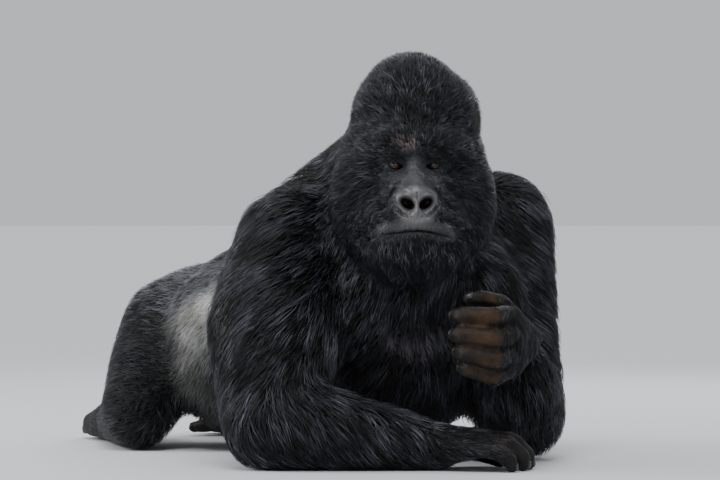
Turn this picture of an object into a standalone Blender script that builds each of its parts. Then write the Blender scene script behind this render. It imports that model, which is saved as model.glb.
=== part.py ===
"""Life-size silverback gorilla at rest: it lies on its elbows with the chest off the floor, kneels
behind, and holds its left hand curled in front of the chest. Metres, +Z up, floor at z = 0.

The trunk runs along Y with the rump at +Y, and the animal's right side is -X. The head and both
forearms are laid out on the gaze axes, which are the trunk's axes turned towards its right.
"""

import math

import bmesh
import bpy
from mathutils import Matrix, Vector

# Driving dimensions, in metres. They are the outline of the coat, not of the skin.
GAP = 0.0003  # between pieces that touch
GAZE_TURN = math.radians(-32)  # the gaze, about Z from the trunk's own axis
HEAD_TURN = math.radians(-30)  # the head stops a little short of the gaze
EYE_LEVEL = 0.540
HEAD_ACROSS = 0.050  # centre of the head on the gaze axes
HEAD_AHEAD = 0.220
EYE_SPACING = 0.068
EYE_RADIUS = 0.0135
EYE_DEPTH = 0.0800  # centre of the eyeball ahead of the head's centre
EAR_ACROSS = {"left": 0.1145, "right": 0.1005}  # the crown leans to the left
EAR_LEAN = math.radians(38)  # the ear's rear edge stands out from the head

CHEST_LEVEL = 0.345
RUMP_BACK = 0.610  # centre of the pelvis behind the shoulders

BODY_VOXEL = 0.010
BODY_SMOOTHING = 13
BODY_TRIANGLES = 1830
SKULL_VOXEL = 0.0080
SKULL_SMOOTHING = 14
HEAD_VOXEL = 0.0040
HEAD_SMOOTHING = 6
HEAD_TRIANGLES = 2200
EAR_TRIANGLES = 110
HAND_VOXEL = 0.0030
PALM_TRIANGLES = 220
DIGIT_TRIANGLES = 74
FOOT_VOXEL = 0.0045
FOOT_TRIANGLES = 270

LEFT, RIGHT = 1, -1
SIDES = {"left": LEFT, "right": RIGHT}

GAZE = Matrix.Rotation(GAZE_TURN, 4, "Z")


def gaze(across, ahead, up):
    """World place of a point given across, ahead and up on the gaze axes."""
    return GAZE @ Vector((across, -ahead, up))


HEAD_PLACE = Matrix.Translation(gaze(HEAD_ACROSS, HEAD_AHEAD, EYE_LEVEL))
HEAD = HEAD_PLACE @ Matrix.Rotation(HEAD_TURN, 4, "Z")


def in_head(x, y, z):
    """World place of a point in the head's own frame: x to its left, y back, z up from the eyes."""
    return HEAD @ Vector((x, y, z))


# ---------------------------------------------------------------- scene and materials


def clear_scene():
    for obj in list(bpy.data.objects):
        bpy.data.objects.remove(obj, do_unlink=True)


def new_collection(name):
    collection = bpy.data.collections.new(name)
    bpy.context.scene.collection.children.link(collection)
    return collection


def plain_material(name, colour, roughness):
    material = bpy.data.materials.new(name)
    material.use_nodes = True
    shader = material.node_tree.nodes["Principled BSDF"]
    shader.inputs["Base Color"].default_value = (*colour, 1.0)
    shader.inputs["Roughness"].default_value = roughness
    shader.inputs["Metallic"].default_value = 0.0
    return material


FINISHES = {
    "coat": ((0.012, 0.012, 0.014), 0.75),
    "grey_coat": ((0.10, 0.10, 0.105), 0.80),
    "silver_coat": ((0.36, 0.35, 0.33), 0.80),
    "skin": ((0.030, 0.026, 0.026), 0.50),
    "eye": ((0.045, 0.020, 0.008), 0.08),
}

# ---------------------------------------------------------------- making a form


def ball(bm, place, radii, frame=Matrix.Identity(4), turn=Matrix.Identity(4)):
    """An ellipsoid, given in a frame and turned about its own centre."""
    matrix = frame @ Matrix.Translation(place) @ turn @ Matrix.Diagonal((*radii, 1.0))
    bmesh.ops.create_icosphere(bm, subdivisions=4, radius=1.0, matrix=matrix)


def hull(bm, stations):
    """The convex hull of some balls, each given as (place, radius)."""
    balls = bmesh.new()
    for place, radius in stations:
        matrix = Matrix.Translation(place)
        bmesh.ops.create_icosphere(balls, subdivisions=3, radius=radius, matrix=matrix)
    verts = [bm.verts.new(vert.co) for vert in balls.verts]
    balls.free()
    made = bmesh.ops.convex_hull(bm, input=verts)
    inside = made["geom_interior"] + made["geom_unused"]
    unused = list({item for item in inside if isinstance(item, bmesh.types.BMVert)})
    bmesh.ops.delete(bm, geom=unused, context="VERTS")


def limb(bm, stations):
    """A chain of tapered rods through balls, each given as (place, radius)."""
    for start, end in zip(stations, stations[1:]):
        hull(bm, [start, end])


def mirrored(stations):
    return [(Vector((-place[0], place[1], place[2])), radius) for place, radius in stations]


def object_from(bm, name, collection):
    mesh = bpy.data.meshes.new(name)
    bm.to_mesh(mesh)
    bm.free()
    obj = bpy.data.objects.new(name, mesh)
    collection.objects.link(obj)
    return obj


def apply_modifiers(obj):
    """Swap the object's mesh for the one its modifiers make."""
    bpy.context.view_layer.update()
    graph = bpy.context.evaluated_depsgraph_get()
    made = bpy.data.meshes.new_from_object(obj.evaluated_get(graph))
    old = obj.data
    obj.modifiers.clear()
    obj.data = made
    bpy.data.meshes.remove(old)


def triangle_count(mesh):
    return sum(len(face.vertices) - 2 for face in mesh.polygons)


def fuse(obj, voxel, smoothing):
    """Make one skin of the overlapping shapes and round off where they meet."""
    remesh = obj.modifiers.new("one_skin", "REMESH")
    remesh.mode = "VOXEL"
    remesh.voxel_size = voxel
    smooth = obj.modifiers.new("rounding", "SMOOTH")
    smooth.factor = 0.5
    smooth.iterations = smoothing
    apply_modifiers(obj)


def thin_out(obj, triangles):
    """Bring the faceting down to a number of triangles."""
    decimate = obj.modifiers.new("facets", "DECIMATE")
    decimate.ratio = min(1.0, triangles / triangle_count(obj.data))
    decimate.use_collapse_triangulate = True
    apply_modifiers(obj)


# ---------------------------------------------------------------- cutting


def keep_largest(obj):
    """Drop every loose crumb that a cut leaves beside the main body."""
    bm = bmesh.new()
    bm.from_mesh(obj.data)
    waiting = set(bm.verts)
    groups = []
    while waiting:
        group = set()
        front = [waiting.pop()]
        while front:
            vert = front.pop()
            group.add(vert)
            near = [edge.other_vert(vert) for edge in vert.link_edges]
            fresh = [other for other in near if other in waiting]
            waiting.difference_update(fresh)
            front += fresh
        groups.append(group)
    groups.sort(key=len)
    for crumb in groups[:-1]:
        bmesh.ops.delete(bm, geom=list(crumb), context="VERTS")
    bm.to_mesh(obj.data)
    bm.free()


def boolean(obj, cutter, operation):
    modifier = obj.modifiers.new(operation.lower(), "BOOLEAN")
    modifier.operation = operation
    modifier.solver = "EXACT"
    modifier.object = cutter
    apply_modifiers(obj)


def floor_off(obj):
    """Flatten the form where it rests, exactly at the floor."""
    bm = bmesh.new()
    bm.from_mesh(obj.data)
    geom = bm.verts[:] + bm.edges[:] + bm.faces[:]
    bmesh.ops.bisect_plane(
        bm, geom=geom, dist=1e-6, plane_co=(0, 0, 0), plane_no=(0, 0, -1), clear_outer=True
    )
    rim = [edge for edge in bm.edges if edge.is_boundary]
    bmesh.ops.holes_fill(bm, edges=rim, sides=0)
    bmesh.ops.triangulate(bm, faces=[face for face in bm.faces if len(face.verts) > 3])
    bmesh.ops.recalc_face_normals(bm, faces=bm.faces)
    bm.to_mesh(obj.data)
    bm.free()


def cell(centre, size, turn, planes, grow, collection):
    """A box with flat cuts off it. Each plane is (point, outward normal), and grow widens it all."""
    bm = bmesh.new()
    wide = [length + 2 * grow for length in size]
    matrix = Matrix.Translation(centre) @ turn @ Matrix.Diagonal((*wide, 1.0))
    bmesh.ops.create_cube(bm, size=1.0, matrix=matrix)
    for point, normal in planes:
        normal = Vector(normal).normalized()
        made = bmesh.ops.bisect_plane(
            bm,
            geom=bm.verts[:] + bm.edges[:] + bm.faces[:],
            dist=1e-7,
            plane_co=Vector(point) + normal * grow,
            plane_no=normal,
            clear_outer=True,
        )
        rim = [item for item in made["geom_cut"] if isinstance(item, bmesh.types.BMEdge)]
        bmesh.ops.contextual_create(bm, geom=rim)
    bmesh.ops.recalc_face_normals(bm, faces=bm.faces)
    cutter = object_from(bm, "cutter", collection)
    cutter.hide_render = True
    cutter.display_type = "WIRE"
    return cutter


class Workshop:
    """Holds the finished pieces, and cuts new ones off the forms."""

    def __init__(self):
        self.parts = new_collection("gorilla")
        self.cutters = new_collection("cutters")
        self.finishes = {
            name: plain_material(name, colour, roughness)
            for name, (colour, roughness) in FINISHES.items()
        }

    def form(self, name, bm, voxel, smoothing, triangles):
        obj = object_from(bm, name, self.parts)
        fuse(obj, voxel, smoothing)
        thin_out(obj, triangles)
        floor_off(obj)
        return obj

    def finish(self, obj, finish):
        obj.data.materials.clear()
        obj.data.materials.append(self.finishes[finish])
        obj.data.shade_smooth()

    def copy(self, obj, name):
        twin = bpy.data.objects.new(name, obj.data.copy())
        self.parts.objects.link(twin)
        return twin

    def trim(self, obj, shape, keep):
        """Keep what is inside a cell, or what is outside it by the gap."""
        cutter = cell(*shape, 0.0 if keep else GAP, self.cutters)
        boolean(obj, cutter, "INTERSECT" if keep else "DIFFERENCE")
        bpy.data.objects.remove(cutter, do_unlink=True)
        keep_largest(obj)

    def part_off(self, form, name, shape, finish):
        """Cut the piece in a cell off a form, with the gap between them."""
        piece = self.copy(form, name)
        self.trim(piece, shape, keep=True)
        self.trim(form, shape, keep=False)
        self.finish(piece, finish)
        return piece

    def make_room(self, obj, neighbour):
        """Cut from a piece what a neighbour and the gap round it take up."""
        bm = bmesh.new()
        bm.from_mesh(neighbour.data)
        bm.normal_update()
        moves = [(vert, vert.normal * GAP * 1.6) for vert in bm.verts]
        for vert, move in moves:
            vert.co += move
        cutter = object_from(bm, "cutter", self.cutters)
        cutter.hide_render = True
        cutter.display_type = "WIRE"
        boolean(obj, cutter, "DIFFERENCE")
        bpy.data.objects.remove(cutter, do_unlink=True)
        keep_largest(obj)


# ---------------------------------------------------------------- the trunk and limbs

SHOULDER_RIGHT = Vector((-0.198, 0.000, 0.400))
ELBOW_RIGHT = Vector((-0.345, -0.165, 0.084))
WRIST_RIGHT = gaze(0.085, 0.335, 0.044)
SHOULDER_LEFT = Vector((0.238, 0.000, 0.420))
ELBOW_LEFT = gaze(0.252, 0.010, 0.083)
WRIST_LEFT = gaze(0.236, 0.285, 0.225)

HIP = Vector((0.086, 0.642, 0.227))
KNEE = Vector((0.262, 0.460, 0.073))
ANKLE = Vector((0.166, 0.722, 0.038))
TOES = Vector((0.118, 0.876, 0.021))

UPPER_ARMS = {
    "right": [
        (SHOULDER_RIGHT, 0.107),
        (Vector((-0.276, -0.075, 0.250)), 0.130),
        (ELBOW_RIGHT, 0.089),
    ],
    "left": [
        (SHOULDER_LEFT, 0.123),
        (gaze(0.207, -0.060, 0.250), 0.120),
        (ELBOW_LEFT, 0.088),
    ],
}
FOREARMS = {
    "right": [
        (ELBOW_RIGHT, 0.089),
        (ELBOW_RIGHT.lerp(WRIST_RIGHT, 0.36) + Vector((0, 0, 0.004)), 0.077),
        (WRIST_RIGHT, 0.049),
    ],
    "left": [
        (ELBOW_LEFT, 0.088),
        (ELBOW_LEFT.lerp(WRIST_LEFT, 0.36) + Vector((0, 0, -0.004)), 0.078),
        (WRIST_LEFT, 0.056),
    ],
}
THIGH = [(HIP, 0.102), (HIP.lerp(KNEE, 0.52), 0.094), (KNEE, 0.075)]
SHANK = [(KNEE, 0.074), (KNEE.lerp(ANKLE, 0.38), 0.062), (ANKLE, 0.044)]


def add_trunk(bm):
    ball(bm, (0, 0.040, CHEST_LEVEL), (0.245, 0.250, 0.200))
    ball(bm, (0, 0.020, 0.425), (0.205, 0.175, 0.138))
    ball(bm, (0, -0.020, 0.215), (0.200, 0.180, 0.185))
    ball(bm, (0, 0.200, 0.335), (0.186, 0.210, 0.155))
    ball(bm, (0, 0.350, 0.200), (0.225, 0.290, 0.206))
    ball(bm, (0, 0.420, 0.265), (0.120, 0.210, 0.138))
    ball(bm, (0, RUMP_BACK, 0.212), (0.180, 0.172, 0.144))
    for side in SIDES.values():
        ball(bm, (side * 0.095, -0.115, 0.290), (0.125, 0.115, 0.130))
    # The left shoulder blade is pushed up by its arm; the right side slopes down from the nape.
    ball(bm, (0.130, 0.090, 0.440), (0.105, 0.150, 0.095))
    ball(bm, (-0.118, 0.085, 0.425), (0.085, 0.135, 0.086))
    limb(bm, [(Vector((-0.047, 0.030, 0.541)), 0.061), (Vector((-0.190, 0.030, 0.452)), 0.056)])


def add_neck(bm):
    limb(bm, [(in_head(0, 0.085, 0.010), 0.125), (Vector((-0.010, 0.020, 0.410)), 0.165)])
    limb(bm, [(in_head(0, 0.030, -0.110), 0.105), (Vector((-0.010, -0.050, 0.330)), 0.165)])


def body_form(shop):
    bm = bmesh.new()
    add_trunk(bm)
    add_neck(bm)
    add_skull(bm)
    for side in SIDES:
        limb(bm, UPPER_ARMS[side])
        limb(bm, FOREARMS[side])
    for stations in (THIGH, SHANK):
        limb(bm, stations)
        limb(bm, mirrored(stations))
    return shop.form("body", bm, BODY_VOXEL, BODY_SMOOTHING, BODY_TRIANGLES)


# ---------------------------------------------------------------- the head


def add_skull(bm):
    """The big masses of the head, coat and all."""
    ball(bm, (0, 0.030, 0.030), (0.120, 0.130, 0.125), HEAD)
    ball(bm, (0, 0.058, 0.102), (0.100, 0.118, 0.110), HEAD)
    ball(bm, (0, 0.110, 0.030), (0.115, 0.090, 0.125), HEAD)
    ball(bm, (0.052, 0.048, 0.088), (0.078, 0.104, 0.088), HEAD)
    ball(bm, (-0.046, 0.048, 0.088), (0.066, 0.104, 0.088), HEAD)
    for side in SIDES.values():
        ball(bm, (side * 0.064, 0.030, 0.008), (0.074, 0.092, 0.085), HEAD)
        ball(bm, (side * 0.078, 0.006, -0.062), (0.076, 0.094, 0.112), HEAD)
    ball(bm, (0, -0.051, -0.138), (0.104, 0.096, 0.082), HEAD)


def add_face(bm):
    """Brow, cheekbones, muzzle, lips and nose."""
    for side in SIDES.values():
        limb(
            bm,
            [
                (in_head(0, -0.084, 0.046), 0.026),
                (in_head(side * 0.042, -0.084, 0.050), 0.025),
                (in_head(side * 0.088, -0.052, 0.034), 0.023),
            ],
        )
        ball(bm, (side * 0.064, -0.056, -0.034), (0.034, 0.032, 0.028), HEAD)
        ball(bm, (side * 0.054, -0.076, -0.098), (0.048, 0.050, 0.052), HEAD)
        ball(bm, (side * 0.036, -0.114, -0.106), (0.046, 0.058, 0.036), HEAD)
        limb(
            bm,
            [
                (in_head(side * 0.010, -0.157, -0.044), 0.0105),
                (in_head(side * 0.030, -0.149, -0.052), 0.0105),
                (in_head(side * 0.039, -0.144, -0.072), 0.0105),
                (in_head(side * 0.026, -0.160, -0.093), 0.0105),
                (in_head(side * 0.006, -0.169, -0.098), 0.0095),
            ],
        )
    bridge = [((0, -0.080, 0.018), 0.020), ((0, -0.103, -0.016), 0.018), ((0, -0.139, -0.044), 0.022)]
    limb(bm, [(in_head(*place), radius) for place, radius in bridge])
    limb(bm, [(in_head(0, -0.162, -0.050), 0.0085), (in_head(0, -0.171, -0.092), 0.0080)])
    ball(bm, (0, -0.076, -0.045), (0.064, 0.046, 0.052), HEAD)
    ball(bm, (0, -0.124, -0.070), (0.036, 0.036, 0.034), HEAD)
    ball(bm, (0, -0.124, -0.110), (0.050, 0.058, 0.028), HEAD)
    ball(bm, (0, -0.112, -0.147), (0.064, 0.056, 0.030), HEAD)


# Dents pressed into the fused head, each as (x, y, z), radii and depth in the head's frame.
EYE_SOCKET = ((0.036, -0.088, 0.000), (0.024, 0.034, 0.015), 0.014)
INNER_CREASE = ((0.020, -0.106, -0.022), (0.007, 0.030, 0.022), 0.005)
NOSTRIL = ((0.0165, -0.164, -0.067), (0.0095, 0.040, 0.0090), 0.012)
LIP_FOLD = ((0.052, -0.136, -0.072), (0.018, 0.040, 0.008), 0.004)


def press(mesh, dent, side):
    """Push the surface back, towards +y of the head, most at the dent's centre."""
    (x, y, z), radii, depth = dent
    centre = Vector((side * x, y, z))
    to_head = HEAD.inverted()
    back = (HEAD.to_3x3() @ Vector((0, 1, 0))).normalized()
    for vert in mesh.vertices:
        away = to_head @ vert.co - centre
        spread = sum((away[i] / radii[i]) ** 2 for i in range(3))
        if spread < 9:
            vert.co += back * depth * math.exp(-spread)


def press_mouth(mesh):
    """A closed mouth: a shallow line that bows up in the middle and drops to the corners."""
    half_width, level, bow, softness, depth = 0.070, -0.1265, 0.010, 0.0048, 0.007
    to_head = HEAD.inverted()
    back = (HEAD.to_3x3() @ Vector((0, 1, 0))).normalized()
    for vert in mesh.vertices:
        x, y, z = to_head @ vert.co
        along = abs(x) / half_width
        if along > 1.2 or y > -0.04:
            continue
        line = level + bow * (1 - along**1.5)
        fade = max(0.0, 1 - along**6)
        vert.co += back * depth * fade * math.exp(-(((z - line) / softness) ** 2))


def head_form(shop):
    bm = bmesh.new()
    add_neck(bm)
    add_skull(bm)
    skull = object_from(bm, "skull", shop.parts)
    fuse(skull, SKULL_VOXEL, SKULL_SMOOTHING)
    bm = bmesh.new()
    bm.from_mesh(skull.data)
    bpy.data.objects.remove(skull, do_unlink=True)
    add_face(bm)
    obj = object_from(bm, "head", shop.parts)
    fuse(obj, HEAD_VOXEL, HEAD_SMOOTHING)
    for side in SIDES.values():
        for dent in (EYE_SOCKET, INNER_CREASE, NOSTRIL, LIP_FOLD):
            press(obj.data, dent, side)
    press_mouth(obj.data)
    shop.trim(obj, HEAD_CELL, keep=True)
    thin_out(obj, HEAD_TRIANGLES)
    return obj


# The head's cell: its box, and the slanting plane of the neck behind the ears and the throat.
HEAD_CELL = (
    in_head(0, -0.010, 0.010),
    (0.44, 0.46, 0.52),
    Matrix.Rotation(HEAD_TURN, 4, "Z"),
    [(in_head(0, 0.090, 0.020), HEAD.to_3x3() @ Vector((0, 1, -0.62)))],
)


def make_eyes_and_ears(shop, head):
    for name, side in SIDES.items():
        bm = bmesh.new()
        place = (side * EYE_SPACING / 2, -EYE_DEPTH, 0)
        matrix = HEAD @ Matrix.Translation(place)
        bmesh.ops.create_uvsphere(
            bm, u_segments=12, v_segments=8, radius=EYE_RADIUS, matrix=matrix
        )
        eye = object_from(bm, f"eye_{name}", shop.parts)
        shop.finish(eye, "eye")
        shop.make_room(head, eye)

        bm = bmesh.new()
        lean = Matrix.Rotation(-side * EAR_LEAN, 4, "Z")
        frame = HEAD @ Matrix.Translation((side * EAR_ACROSS[name], -0.008, 0.080)) @ lean
        for angle in range(0, 360, 30):
            turn = math.radians(angle)
            rim = frame @ Vector((0, 0.0135 * math.cos(turn), 0.0200 * math.sin(turn)))
            bmesh.ops.create_icosphere(
                bm, subdivisions=2, radius=0.0062, matrix=Matrix.Translation(rim)
            )
        ball(bm, (side * -0.004, 0, 0), (0.0055, 0.0145, 0.0210), frame)
        ear = object_from(bm, f"ear_{name}", shop.parts)
        fuse(ear, 0.0022, 3)
        thin_out(ear, EAR_TRIANGLES)
        shop.finish(ear, "skin")
        shop.make_room(head, ear)


# ---------------------------------------------------------------- hands and feet

# Each digit runs from its knuckle to its tip, as (across, ahead, up) on the gaze axes and radius.
LEFT_DIGITS = {
    "thumb": [
        ((0.230, 0.322, 0.268), 0.0180),
        ((0.207, 0.345, 0.297), 0.0155),
        ((0.172, 0.356, 0.306), 0.0140),
        ((0.148, 0.362, 0.305), 0.0115),
    ],
    "index": [
        ((0.222, 0.365, 0.277), 0.0185),
        ((0.190, 0.415, 0.274), 0.0180),
        ((0.137, 0.422, 0.277), 0.0162),
        ((0.124, 0.390, 0.276), 0.0135),
    ],
    "middle": [
        ((0.228, 0.369, 0.243), 0.0190),
        ((0.190, 0.424, 0.236), 0.0190),
        ((0.135, 0.430, 0.243), 0.0168),
        ((0.124, 0.396, 0.243), 0.0138),
    ],
    "ring": [
        ((0.228, 0.366, 0.210), 0.0185),
        ((0.190, 0.420, 0.199), 0.0182),
        ((0.141, 0.426, 0.211), 0.0160),
        ((0.130, 0.392, 0.212), 0.0132),
    ],
    "little": [
        ((0.225, 0.357, 0.181), 0.0160),
        ((0.190, 0.405, 0.168), 0.0152),
        ((0.146, 0.410, 0.181), 0.0138),
        ((0.137, 0.380, 0.183), 0.0118),
    ],
}
RIGHT_DIGITS = {
    "thumb": [
        ((0.112, 0.292, 0.040), 0.0180),
        ((0.150, 0.262, 0.030), 0.0155),
        ((0.186, 0.256, 0.020), 0.0140),
        ((0.208, 0.258, 0.0100), 0.0118),
    ],
    "index": [
        ((0.168, 0.297, 0.052), 0.0180),
        ((0.214, 0.291, 0.048), 0.0170),
        ((0.240, 0.289, 0.026), 0.0155),
        ((0.243, 0.288, 0.0110), 0.0132),
    ],
    "middle": [
        ((0.174, 0.331, 0.054), 0.0185),
        ((0.224, 0.329, 0.050), 0.0178),
        ((0.252, 0.328, 0.026), 0.0160),
        ((0.254, 0.327, 0.0112), 0.0136),
    ],
    "ring": [
        ((0.170, 0.364, 0.050), 0.0180),
        ((0.217, 0.367, 0.046), 0.0170),
        ((0.243, 0.366, 0.025), 0.0155),
        ((0.245, 0.365, 0.0108), 0.0130),
    ],
    "little": [
        ((0.160, 0.393, 0.042), 0.0158),
        ((0.199, 0.402, 0.038), 0.0148),
        ((0.221, 0.402, 0.021), 0.0134),
        ((0.223, 0.401, 0.0092), 0.0114),
    ],
}
HANDS = {"left": (LEFT_DIGITS, WRIST_LEFT), "right": (RIGHT_DIGITS, WRIST_RIGHT)}


def wrist_cell(side):
    """All that lies past the wrist, square to the line from the wrist to the middle knuckle."""
    digits, wrist = HANDS[side]
    palm_end = gaze(*digits["middle"][0][0])
    away = (palm_end - wrist).normalized()
    turn = away.to_track_quat("Z", "Y").to_matrix().to_4x4()
    return (wrist + away * 0.135, (0.30, 0.30, 0.27), turn, [])


def make_hand(shop, side):
    digits, wrist = HANDS[side]
    knuckles = {name: gaze(*stations[0][0]) for name, stations in digits.items()}
    bm = bmesh.new()
    back = (wrist - knuckles["middle"]).normalized() * 0.03
    hull(bm, [(wrist + back, 0.046), (wrist, 0.045), (knuckles["thumb"], 0.018)])
    fingers = ("index", "middle", "ring", "little")
    for first, second in zip(fingers, fingers[1:]):
        hull(
            bm,
            [
                (wrist, 0.040),
                (knuckles[first], digits[first][0][1] + 0.002),
                (knuckles[second], digits[second][0][1] + 0.002),
            ],
        )
    hand = object_from(bm, f"hand_{side}", shop.parts)
    fuse(hand, HAND_VOXEL, 6)
    thin_out(hand, PALM_TRIANGLES)
    floor_off(hand)
    shop.trim(hand, wrist_cell(side), keep=True)
    shop.finish(hand, "skin")
    made = [hand]
    for name in ("middle", "index", "ring", "little", "thumb"):
        bm = bmesh.new()
        limb(bm, [(gaze(*place), radius) for place, radius in digits[name]])
        digit = object_from(bm, f"{name}_{'digit' if name == 'thumb' else 'finger'}_{side}", shop.parts)
        fuse(digit, HAND_VOXEL, 3)
        thin_out(digit, DIGIT_TRIANGLES)
        floor_off(digit)
        for other in made:
            shop.make_room(digit, other)
        shop.finish(digit, "skin")
        made.append(digit)


def foot_stations(side):
    """Heel, ball and toes of a foot laid back on its instep, the big toe on the inner side."""
    flip = Matrix.Diagonal((-1 if side == "right" else 1, 1, 1))
    along = (TOES - ANKLE).normalized()
    inward = along.cross(Vector((0, 0, 1))) * -1
    heel = ANKLE + along * 0.018 + Vector((0, 0, 0.004))
    masses = [[(ANKLE - along * 0.05, 0.045), (heel, 0.044)]]
    for across, reach in ((0.026, 0.100), (-0.024, 0.094)):
        ball_of_foot = ANKLE + along * reach + inward * across
        ball_of_foot.z = 0.030
        masses.append([(heel, 0.042), (ball_of_foot, 0.029)])
    for number, across in enumerate((-0.034, -0.015, 0.004, 0.023)):
        root = ANKLE + along * 0.108 + inward * across
        root.z = 0.026
        tip = root + along * (0.038 + 0.005 * number)
        tip.z = 0.015
        masses.append([(root, 0.0155), (tip, 0.0112)])
    toe_root = ANKLE + along * 0.070 + inward * 0.044
    toe_root.z = 0.028
    toe_tip = toe_root + along * 0.052 + inward * 0.026
    toe_tip.z = 0.017
    masses.append([(toe_root, 0.021), (toe_tip, 0.0150)])
    return [[(flip @ place, radius) for place, radius in mass] for mass in masses]


def ankle_cell(side):
    flip = Matrix.Diagonal((-1 if side == "right" else 1, 1, 1))
    away = flip @ (TOES - ANKLE).normalized()
    away.z = 0
    turn = away.to_track_quat("Z", "Y").to_matrix().to_4x4()
    return (flip @ ANKLE + away * 0.15, (0.20, 0.20, 0.30), turn, [])


def make_foot(shop, side):
    bm = bmesh.new()
    for mass in foot_stations(side):
        hull(bm, mass)
    foot = shop.form(f"foot_{side}", bm, FOOT_VOXEL, 3, FOOT_TRIANGLES)
    shop.trim(foot, ankle_cell(side), keep=True)
    shop.finish(foot, "skin")


# ---------------------------------------------------------------- parting the body


def box(low, high):
    low, high = Vector(low), Vector(high)
    return ((low + high) / 2, tuple(high - low), Matrix.Identity(4))


def along_limb(start, end, before, after, width):
    """A square cell along a limb, from before its start to after its end."""
    away = (end - start).normalized()
    turn = away.to_track_quat("Z", "Y").to_matrix().to_4x4()
    length = (end - start).length + before + after
    centre = start + away * ((end - start).length + after - before) / 2
    return (centre, (width, width, length), turn)


def elbow_plane(shoulder, elbow, wrist):
    """Point and normal of the cut at an elbow, the normal on the upper arm's side."""
    normal = (shoulder - elbow).normalized() - (wrist - elbow).normalized()
    inside = ((shoulder - elbow).normalized() + (wrist - elbow).normalized()).normalized()
    return (elbow + inside * 0.01, normal)


def part_body(shop, body):
    joints = {
        "right": (SHOULDER_RIGHT, ELBOW_RIGHT, WRIST_RIGHT),
        "left": (SHOULDER_LEFT, ELBOW_LEFT, WRIST_LEFT),
    }
    for side, (shoulder, elbow, wrist) in joints.items():
        shop.trim(body, wrist_cell(side), keep=False)
        bend = elbow_plane(shoulder, elbow, wrist)
        reach = along_limb(elbow, wrist, 0.11, 0.06, 0.21)
        shop.part_off(body, f"forearm_{side}", (*reach, [bend]), "coat")
    for side, (shoulder, elbow, wrist) in joints.items():
        sign = SIDES[side]
        low = (min(sign * 0.175, sign * 0.60), -0.34, -0.05)
        high = (max(sign * 0.175, sign * 0.60), 0.145, 0.62)
        pit = [((sign * 0.190, 0, 0.30), (-sign, 0, 0.16))]
        shop.part_off(body, f"upper_arm_{side}", (*box(low, high), pit), "coat")
    for side, sign in SIDES.items():
        flip = Matrix.Diagonal((sign, 1, 1))
        hip, knee, ankle = flip @ HIP, flip @ KNEE, flip @ ANKLE
        shop.trim(body, ankle_cell(side), keep=False)
        bend = elbow_plane(hip, knee, ankle)
        reach = along_limb(knee, ankle, 0.10, 0.02, 0.165)
        shop.part_off(body, f"shank_{side}", (*reach, [bend]), "grey_coat")
        low = (min(sign * 0.150, sign * 0.45), 0.30, -0.05)
        high = (max(sign * 0.150, sign * 0.45), 0.90, 0.40)
        groin = [
            ((sign * 0.150, 0.60, 0.25), (-sign, -0.25, 0.35)),
            (knee + Vector((-sign * 0.02, -0.078, 0)), (-sign * 0.55, -1, 0)),
        ]
        shop.part_off(body, f"thigh_{side}", (*box(low, high), groin), "grey_coat")
    shop.trim(body, HEAD_CELL, keep=False)
    root_of_neck = [((0, -0.060, 0.440), (0.12, 1.0, -0.75))]
    shop.part_off(body, "neck", (*box((-0.4, -0.5, 0.28), (0.4, 0.3, 0.9)), root_of_neck), "coat")
    shop.part_off(body, "pelvis", (*box((-0.5, 0.500, -0.1), (0.5, 1.2, 0.7)), []), "grey_coat")
    shop.part_off(body, "abdomen", (*box((-0.5, 0.215, -0.1), (0.5, 0.6, 0.7)), []), "silver_coat")
    body.name = "thorax"
    shop.finish(body, "coat")


def centre_on_origin(shop):
    """Put the middle of the footprint at the origin, with the floor at z = 0."""
    places = [vert.co for obj in shop.parts.objects for vert in obj.data.vertices]
    middle = [(min(p[i] for p in places) + max(p[i] for p in places)) / 2 for i in (0, 1)]
    shift = Matrix.Translation((-middle[0], -middle[1], 0))
    for obj in shop.parts.objects:
        obj.data.transform(shift)


def main():
    clear_scene()
    shop = Workshop()
    head = head_form(shop)
    make_eyes_and_ears(shop, head)
    shop.finish(head, "coat")
    for side in SIDES:
        make_hand(shop, side)
        make_foot(shop, side)
    part_body(shop, body_form(shop))
    centre_on_origin(shop)


if __name__ == "__main__":
    main()
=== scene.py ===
"""Looks of the life-size silverback gorilla: one skin with its face, hands and feet, the eyes, the
nails and the coat of solid hairs, on a plain studio floor.

All lengths are metres in the model's own frame: +Z up, the rump towards +Y, the animal's right
side towards -X. Places on the head are given in the head's frame: x to the animal's left, y back,
z up, measured from a point midway between the eyes and EYE_DEPTH behind them.
"""

import math

import bmesh
import bpy
import numpy as np
from bpy.props import FloatProperty, FloatVectorProperty, PointerProperty
from mathutils import Matrix, Vector
from mathutils.bvhtree import BVHTree
from mathutils.kdtree import KDTree


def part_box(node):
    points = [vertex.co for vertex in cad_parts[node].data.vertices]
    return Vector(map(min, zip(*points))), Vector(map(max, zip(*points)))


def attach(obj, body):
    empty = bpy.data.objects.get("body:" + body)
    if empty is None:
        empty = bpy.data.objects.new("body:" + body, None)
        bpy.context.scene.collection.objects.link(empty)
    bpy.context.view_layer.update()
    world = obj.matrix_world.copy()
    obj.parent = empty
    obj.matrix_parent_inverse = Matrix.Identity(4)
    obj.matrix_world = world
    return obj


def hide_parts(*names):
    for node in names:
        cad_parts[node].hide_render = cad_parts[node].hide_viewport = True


bl_info = {
    "name": "Silverback gorilla model",
    "version": (1, 0, 0),
    "blender": (4, 5, 0),
    "location": "View3D > Sidebar > Gorilla",
    "description": "Dresses the life-size gorilla model with skin, eyes, nails and coat",
    "category": "Object",
}

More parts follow.
